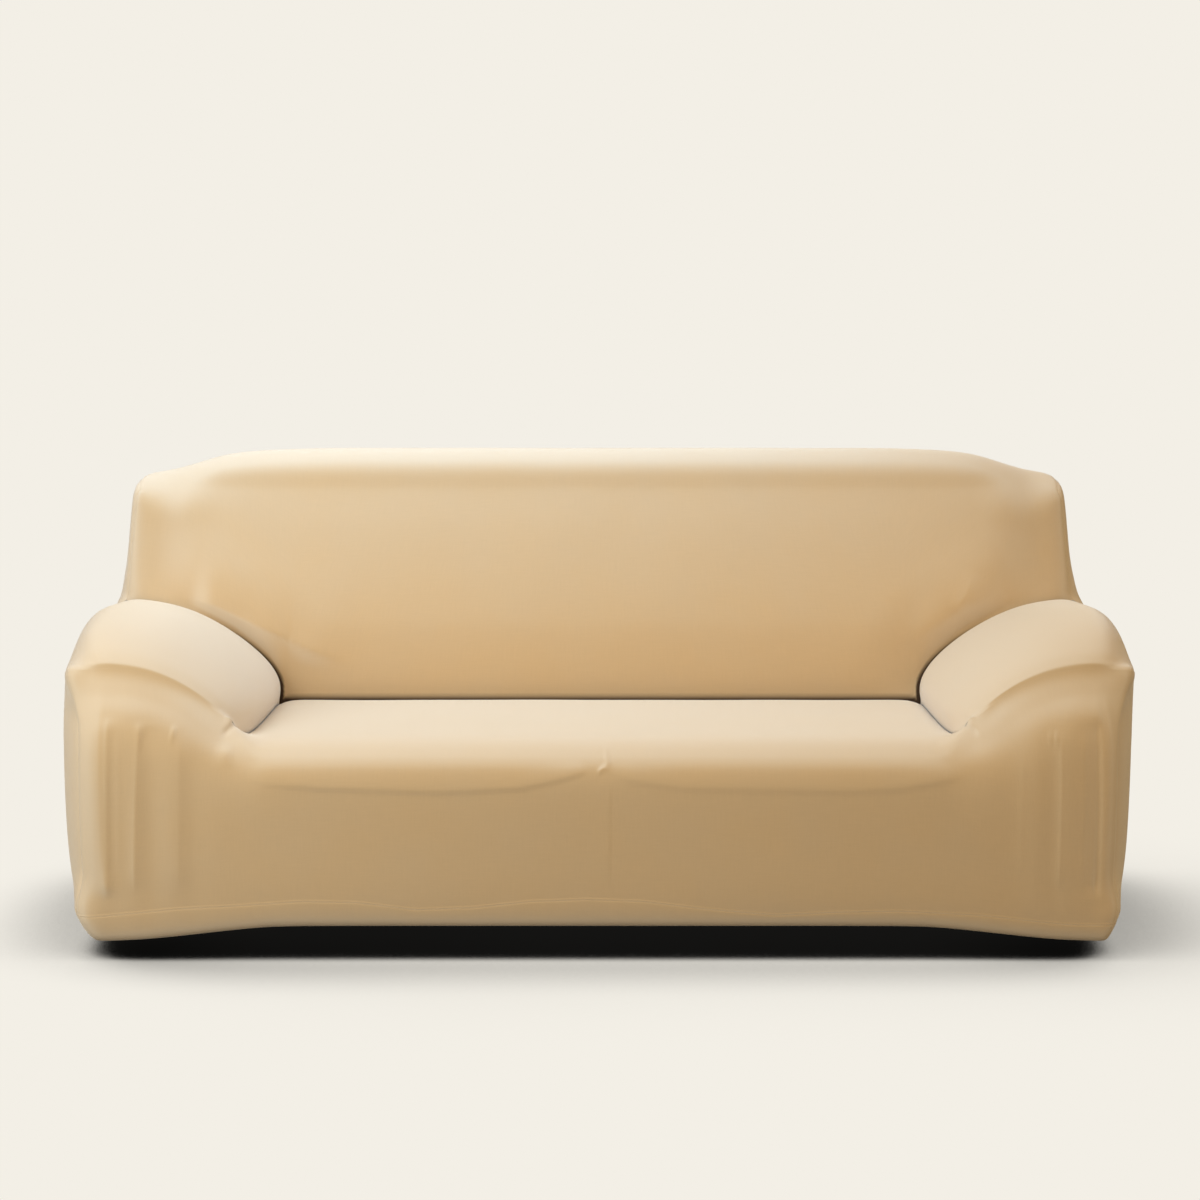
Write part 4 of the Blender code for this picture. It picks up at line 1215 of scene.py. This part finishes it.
def makePanel(name, grid, node, size):
    step = 2 ** refining["levels"]
    wide, tall = (count - 1 for count in (len(grids[grid]), len(grids[grid][0])))
    across = spread(grid, 0, size["spacing"], range(wide + 1))
    columns = sampledAcross(grid, across)
    if size["hemmed"]:
        lineZ = columns[:, step, 2] + hem["above"]
        up = hemRows(columns, lineZ, size["upSpacing"])
    else:
        up = spread(grid, 1, size["upSpacing"], range(tall + 1))
    points, outward = split(sampledUp(columns, up))
    uv = clothUV(points)
    edges = {"left": (0, False), "right": (0, True), "bottom": (1, False), "top": (1, True)}
    sewn = [edge for edge in edges if edge != "bottom" or not size["hemmed"]]
    toSeam = np.minimum.reduce([fromEdge(points, *edges[edge]) for edge in sewn])
    high = folded(points, size["folds"])
    high += ripple(points, size["seed"]) * smoothStep(toSeam, 0.0, calm["seam"])
    if "plump" in size:
        high += plumped(points, **size["plump"])
    # painted shade deep in the creases along the given edges, dying out towards the sides
    dark = np.zeros(high.shape)
    for edge, between in size.get("creaseShades", {}).items():
        dark = np.maximum(dark, tucked(fromEdge(points, *edges[edge]), between))
    if "creaseShadeEnds" in size:
        dark *= 1.0 - smoothStep(np.abs(points[..., 0]), *size["creaseShadeEnds"])
    for spot, (edge, turned) in enumerate(size["seams"].items()):
        distance = fromEdge(points, *edges[edge])
        along = uv[..., 1 if edge in ("left", "right") else 0]
        high += turned * seamTurn(distance)
        high += gathered(distance, along, size["seed"] + 1 + spot) * turned
    if size["hemmed"]:
        high += hemHeightOver(points[..., 2] - lineZ[:, None])
    if "ridgeEdge" in size:
        toSide = np.minimum(fromEdge(points, 0, False), fromEdge(points, 0, True))
        high += ridgeEased(fromEdge(points, *edges[size["ridgeEdge"]]), toSide)
    if "frontEdge" in size:
        side = fromEdge(points, *edges[size["frontEdge"]])
        high += cornerEased(side, points[..., 2], corner["sideWide"])
    points += outward * high[..., None]
    numbers = gridNumbers(points)
    piece = closedSheet(name, points.reshape(-1, 3), outward.reshape(-1, 3), uv.reshape(-1, 2),
                        dark.ravel(), quads(numbers))
    finished(piece, node)
    return points, outward


# The inner slope and the padded top of each arm
arm = {
    "flat": (0.51, 0.64),
    "area": 0.30,
    "spacing": 0.0055,
    "upSpacing": 0.0060,
    "hemmed": False,
    "seams": {"left": 1.0, "right": 1.0, "top": 1.0},  # the seam at the ridge doesn't show
    "ridgeEdge": "bottom",
    "folds": [],
}
# painted shade in the crease at the back and beside the seat
armLeft = {**arm, "seed": 21, "creaseShades": {"top": (0.010, 0.018), "right": (0.0005, 0.0055)}}
armRight = {**arm, "seed": 31, "creaseShades": {"top": (0.010, 0.018), "left": (0.0005, 0.0055)}}

# The inside back, over both wings and the top
armCrease = [(0.630, 0.300), (0.634, 0.370), (0.654, 0.402), (0.684, 0.453), (0.757, 0.511),
             (0.848, 0.556), (0.930, 0.570)]  # where it meets the right arm: width, height
insideBack = {
    "flat": (1.95, 0.66),
    "area": 1.01,
    "spacing": 0.0085,
    "upSpacing": 0.0085,
    "hemmed": False,
    "seams": {"left": 1.0, "right": 1.0, "bottom": 1.0, "top": 1.0},
    # painted shade in the crease at the seat
    "creaseShades": {"bottom": (0.017, 0.027)},
    "creaseShadeEnds": (0.690, 0.820),
    "seed": 41,
    "plump": {
        "creases": [
            [(-x, z) for x, z in reversed(armCrease)],
            [(-1.000, 0.377), (1.000, 0.377)],
            armCrease,
        ],
        "out": 0.036, "full": 0.150, "top": (0.500, 0.820), "sides": (0.800, 0.930),
    },
    "folds": [
        {"path": [(-0.880, 0.795), (0.880, 0.795)],
         "sides": (0.030, 0.070), "high": -0.0070, "fade": (0.100, 0.100)},
        # tension from the corner beside the left arm
        {"path": [(-0.860, 0.572), (-0.790, 0.552), (-0.690, 0.506), (-0.610, 0.468),
                  (-0.555, 0.448), (-0.500, 0.436)],
         "sides": (0.070, 0.020), "high": 0.0090, "fade": (0.060, 0.110), "sharp": True},
        {"path": [(-0.660, 0.455), (-0.600, 0.430), (-0.520, 0.418)],
         "sides": (0.018, 0.030), "high": -0.0030, "fade": (0.050, 0.080)},
        # and beside the right arm
        {"path": [(0.600, 0.455), (0.690, 0.520), (0.760, 0.560), (0.830, 0.578)],
         "sides": (0.030, 0.016), "high": 0.0030, "fade": (0.080, 0.060)},
        {"path": [(0.735, 0.545), (0.760, 0.580), (0.775, 0.625)],
         "sides": (0.012, 0.018), "high": 0.0036, "fade": (0.020, 0.040), "sharp": True},
    ],
}

# The outer side under each pad's seam
outerSide = {
    "flat": (0.62, 0.54),
    "area": 0.315,
    "spacing": 0.0085,
    "upSpacing": 0.0085,
    "hemmed": True,
    "seams": {"left": 1.0, "right": 1.0, "top": 1.0},
    "folds": [],
}
sideLeft = {**outerSide, "seed": 51, "frontEdge": "right"}
sideRight = {**outerSide, "seed": 61, "frontEdge": "left"}

# The rear with both rear corners
outsideBack = {
    "flat": (2.36, 0.92),
    "area": 1.82,
    "spacing": 0.0115,
    "upSpacing": 0.0105,
    "hemmed": True,
    "seams": {"left": 1.0, "right": 1.0, "top": 1.0},
    "seed": 71,
    "folds": [],
}

# The stitches that hold the hem up, in the groove all the way round
hemStitches = {
    "every": 0.0048,
    "long": 0.0034,
    "thick": 0.0009,
    "lift": 0.0001,
    "row": hem["turnedRows"] + hem["lowRows"] + hem["rows"].index(-hem["grooveLow"]),
    "colour": (0.74, 0.60, 0.42),
    "dark": 0.86,  # painted shade between two plies
    "plies": 900.0,
    "plyBump": 0.3,
    "plyHeight": 0.0002,
    "roughness": 0.6,
}


def threadMaterial():
    thread = hemStitches
    material, tree, shader = newMaterial("thread_beige")
    place = newNode(tree, "ShaderNodeTexCoord")
    plies = newNode(tree, "ShaderNodeTexWave", {
        "Vector": place.outputs["Object"], "Scale": thread["plies"], "Distortion": 1.5})
    dark = opaque([part * thread["dark"] for part in thread["colour"]])
    bump = newNode(tree, "ShaderNodeBump", {
        "Strength": thread["plyBump"], "Distance": thread["plyHeight"],
        "Height": plies.outputs[0]})
    setInputs(tree, shader, {
        # darker between plies: painted shade in the grooves
        "Base Color": mixed(tree, dark, opaque(thread["colour"]), plies.outputs[0]),
        "Normal": bump.outputs[0],
        "Roughness": thread["roughness"]})
    return material


def stitchTree(material):
    tree = bpy.data.node_groups.new("stitch_row", "GeometryNodeTree")
    addSockets(tree, [
        ("Line", "INPUT", "Geometry"), ("Every", "INPUT", "Float"), ("Long", "INPUT", "Float"),
        ("Thick", "INPUT", "Float"), ("Stitches", "OUTPUT", "Geometry"),
    ])
    given = newNode(tree, "NodeGroupInput")
    curve = newNode(tree, "GeometryNodeMeshToCurve", {"Mesh": given.outputs["Line"]})
    even = newNode(tree, "GeometryNodeResampleCurve", {
        "Curve": curve.outputs["Curve"], "Length": given.outputs["Every"]}, mode="LENGTH")
    bead = newNode(tree, "GeometryNodeMeshUVSphere", {"Segments": 6, "Rings": 4, "Radius": 0.5})
    thick = given.outputs["Thick"]
    size = newNode(tree, "ShaderNodeCombineXYZ", {
        "X": given.outputs["Long"], "Y": thick, "Z": thick})
    way = newNode(tree, "GeometryNodeInputTangent")
    turn = newNode(tree, "FunctionNodeAlignRotationToVector", {
        "Vector": way.outputs["Tangent"]}, axis="X")
    place = newNode(tree, "GeometryNodeInstanceOnPoints", {
        "Points": even.outputs["Curve"], "Instance": bead.outputs["Mesh"],
        "Rotation": turn.outputs["Rotation"], "Scale": size.outputs["Vector"]})
    real = newNode(tree, "GeometryNodeRealizeInstances", {"Geometry": place.outputs["Instances"]})
    soft = newNode(tree, "GeometryNodeSetShadeSmooth", {"Geometry": real.outputs["Geometry"]})
    paint = newNode(tree, "GeometryNodeSetMaterial", {
        "Geometry": soft.outputs["Geometry"], "Material": material})
    newNode(tree, "NodeGroupOutput", {"Stitches": paint.outputs["Geometry"]})
    return tree


def makeStitches(lines):
    size = hemStitches
    points, edges = [], []
    for grid, outward in lines:
        row = grid[:, size["row"]] + outward[:, size["row"]] * size["lift"]
        edges += [(len(points) + spot, len(points) + spot + 1) for spot in range(len(row) - 1)]
        points += row.tolist()
    mesh = bpy.data.meshes.new("hem_line")
    mesh.from_pydata(points, edges, [])
    line = linked(bpy.data.objects.new("hem_line", mesh))
    tree = stitchTree(threadMaterial())
    sewn = line.modifiers.new("stitches", "NODES")
    sewn.node_group = tree
    for item in tree.interface.items_tree:
        if item.in_out == "INPUT" and item.name.lower() in size:
            sewn[item.identifier] = size[item.name.lower()]
    piece = linked(bpy.data.objects.new("hem_stitches", evaluatedMesh(line)))
    bpy.data.objects.remove(line, do_unlink=True)
    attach(piece, "root")
    print(f"hem stitches: {len(piece.data.polygons)} faces")


lines = [makeSeatFront()]
makePanel("arm_left_cloth", "armLeft", "arm_left", armLeft)
makePanel("arm_right_cloth", "armRight", "arm_right", armRight)
makePanel("inside_back_cloth", "insideBack", "inside_back", insideBack)
lines.append(makePanel("side_left_cloth", "sideLeft", "side_left", sideLeft))
lines.append(makePanel("side_right_cloth", "sideRight", "side_right", sideRight))
lines.append(makePanel("outside_back_cloth", "outsideBack", "outside_back", outsideBack))
makeStitches(lines)
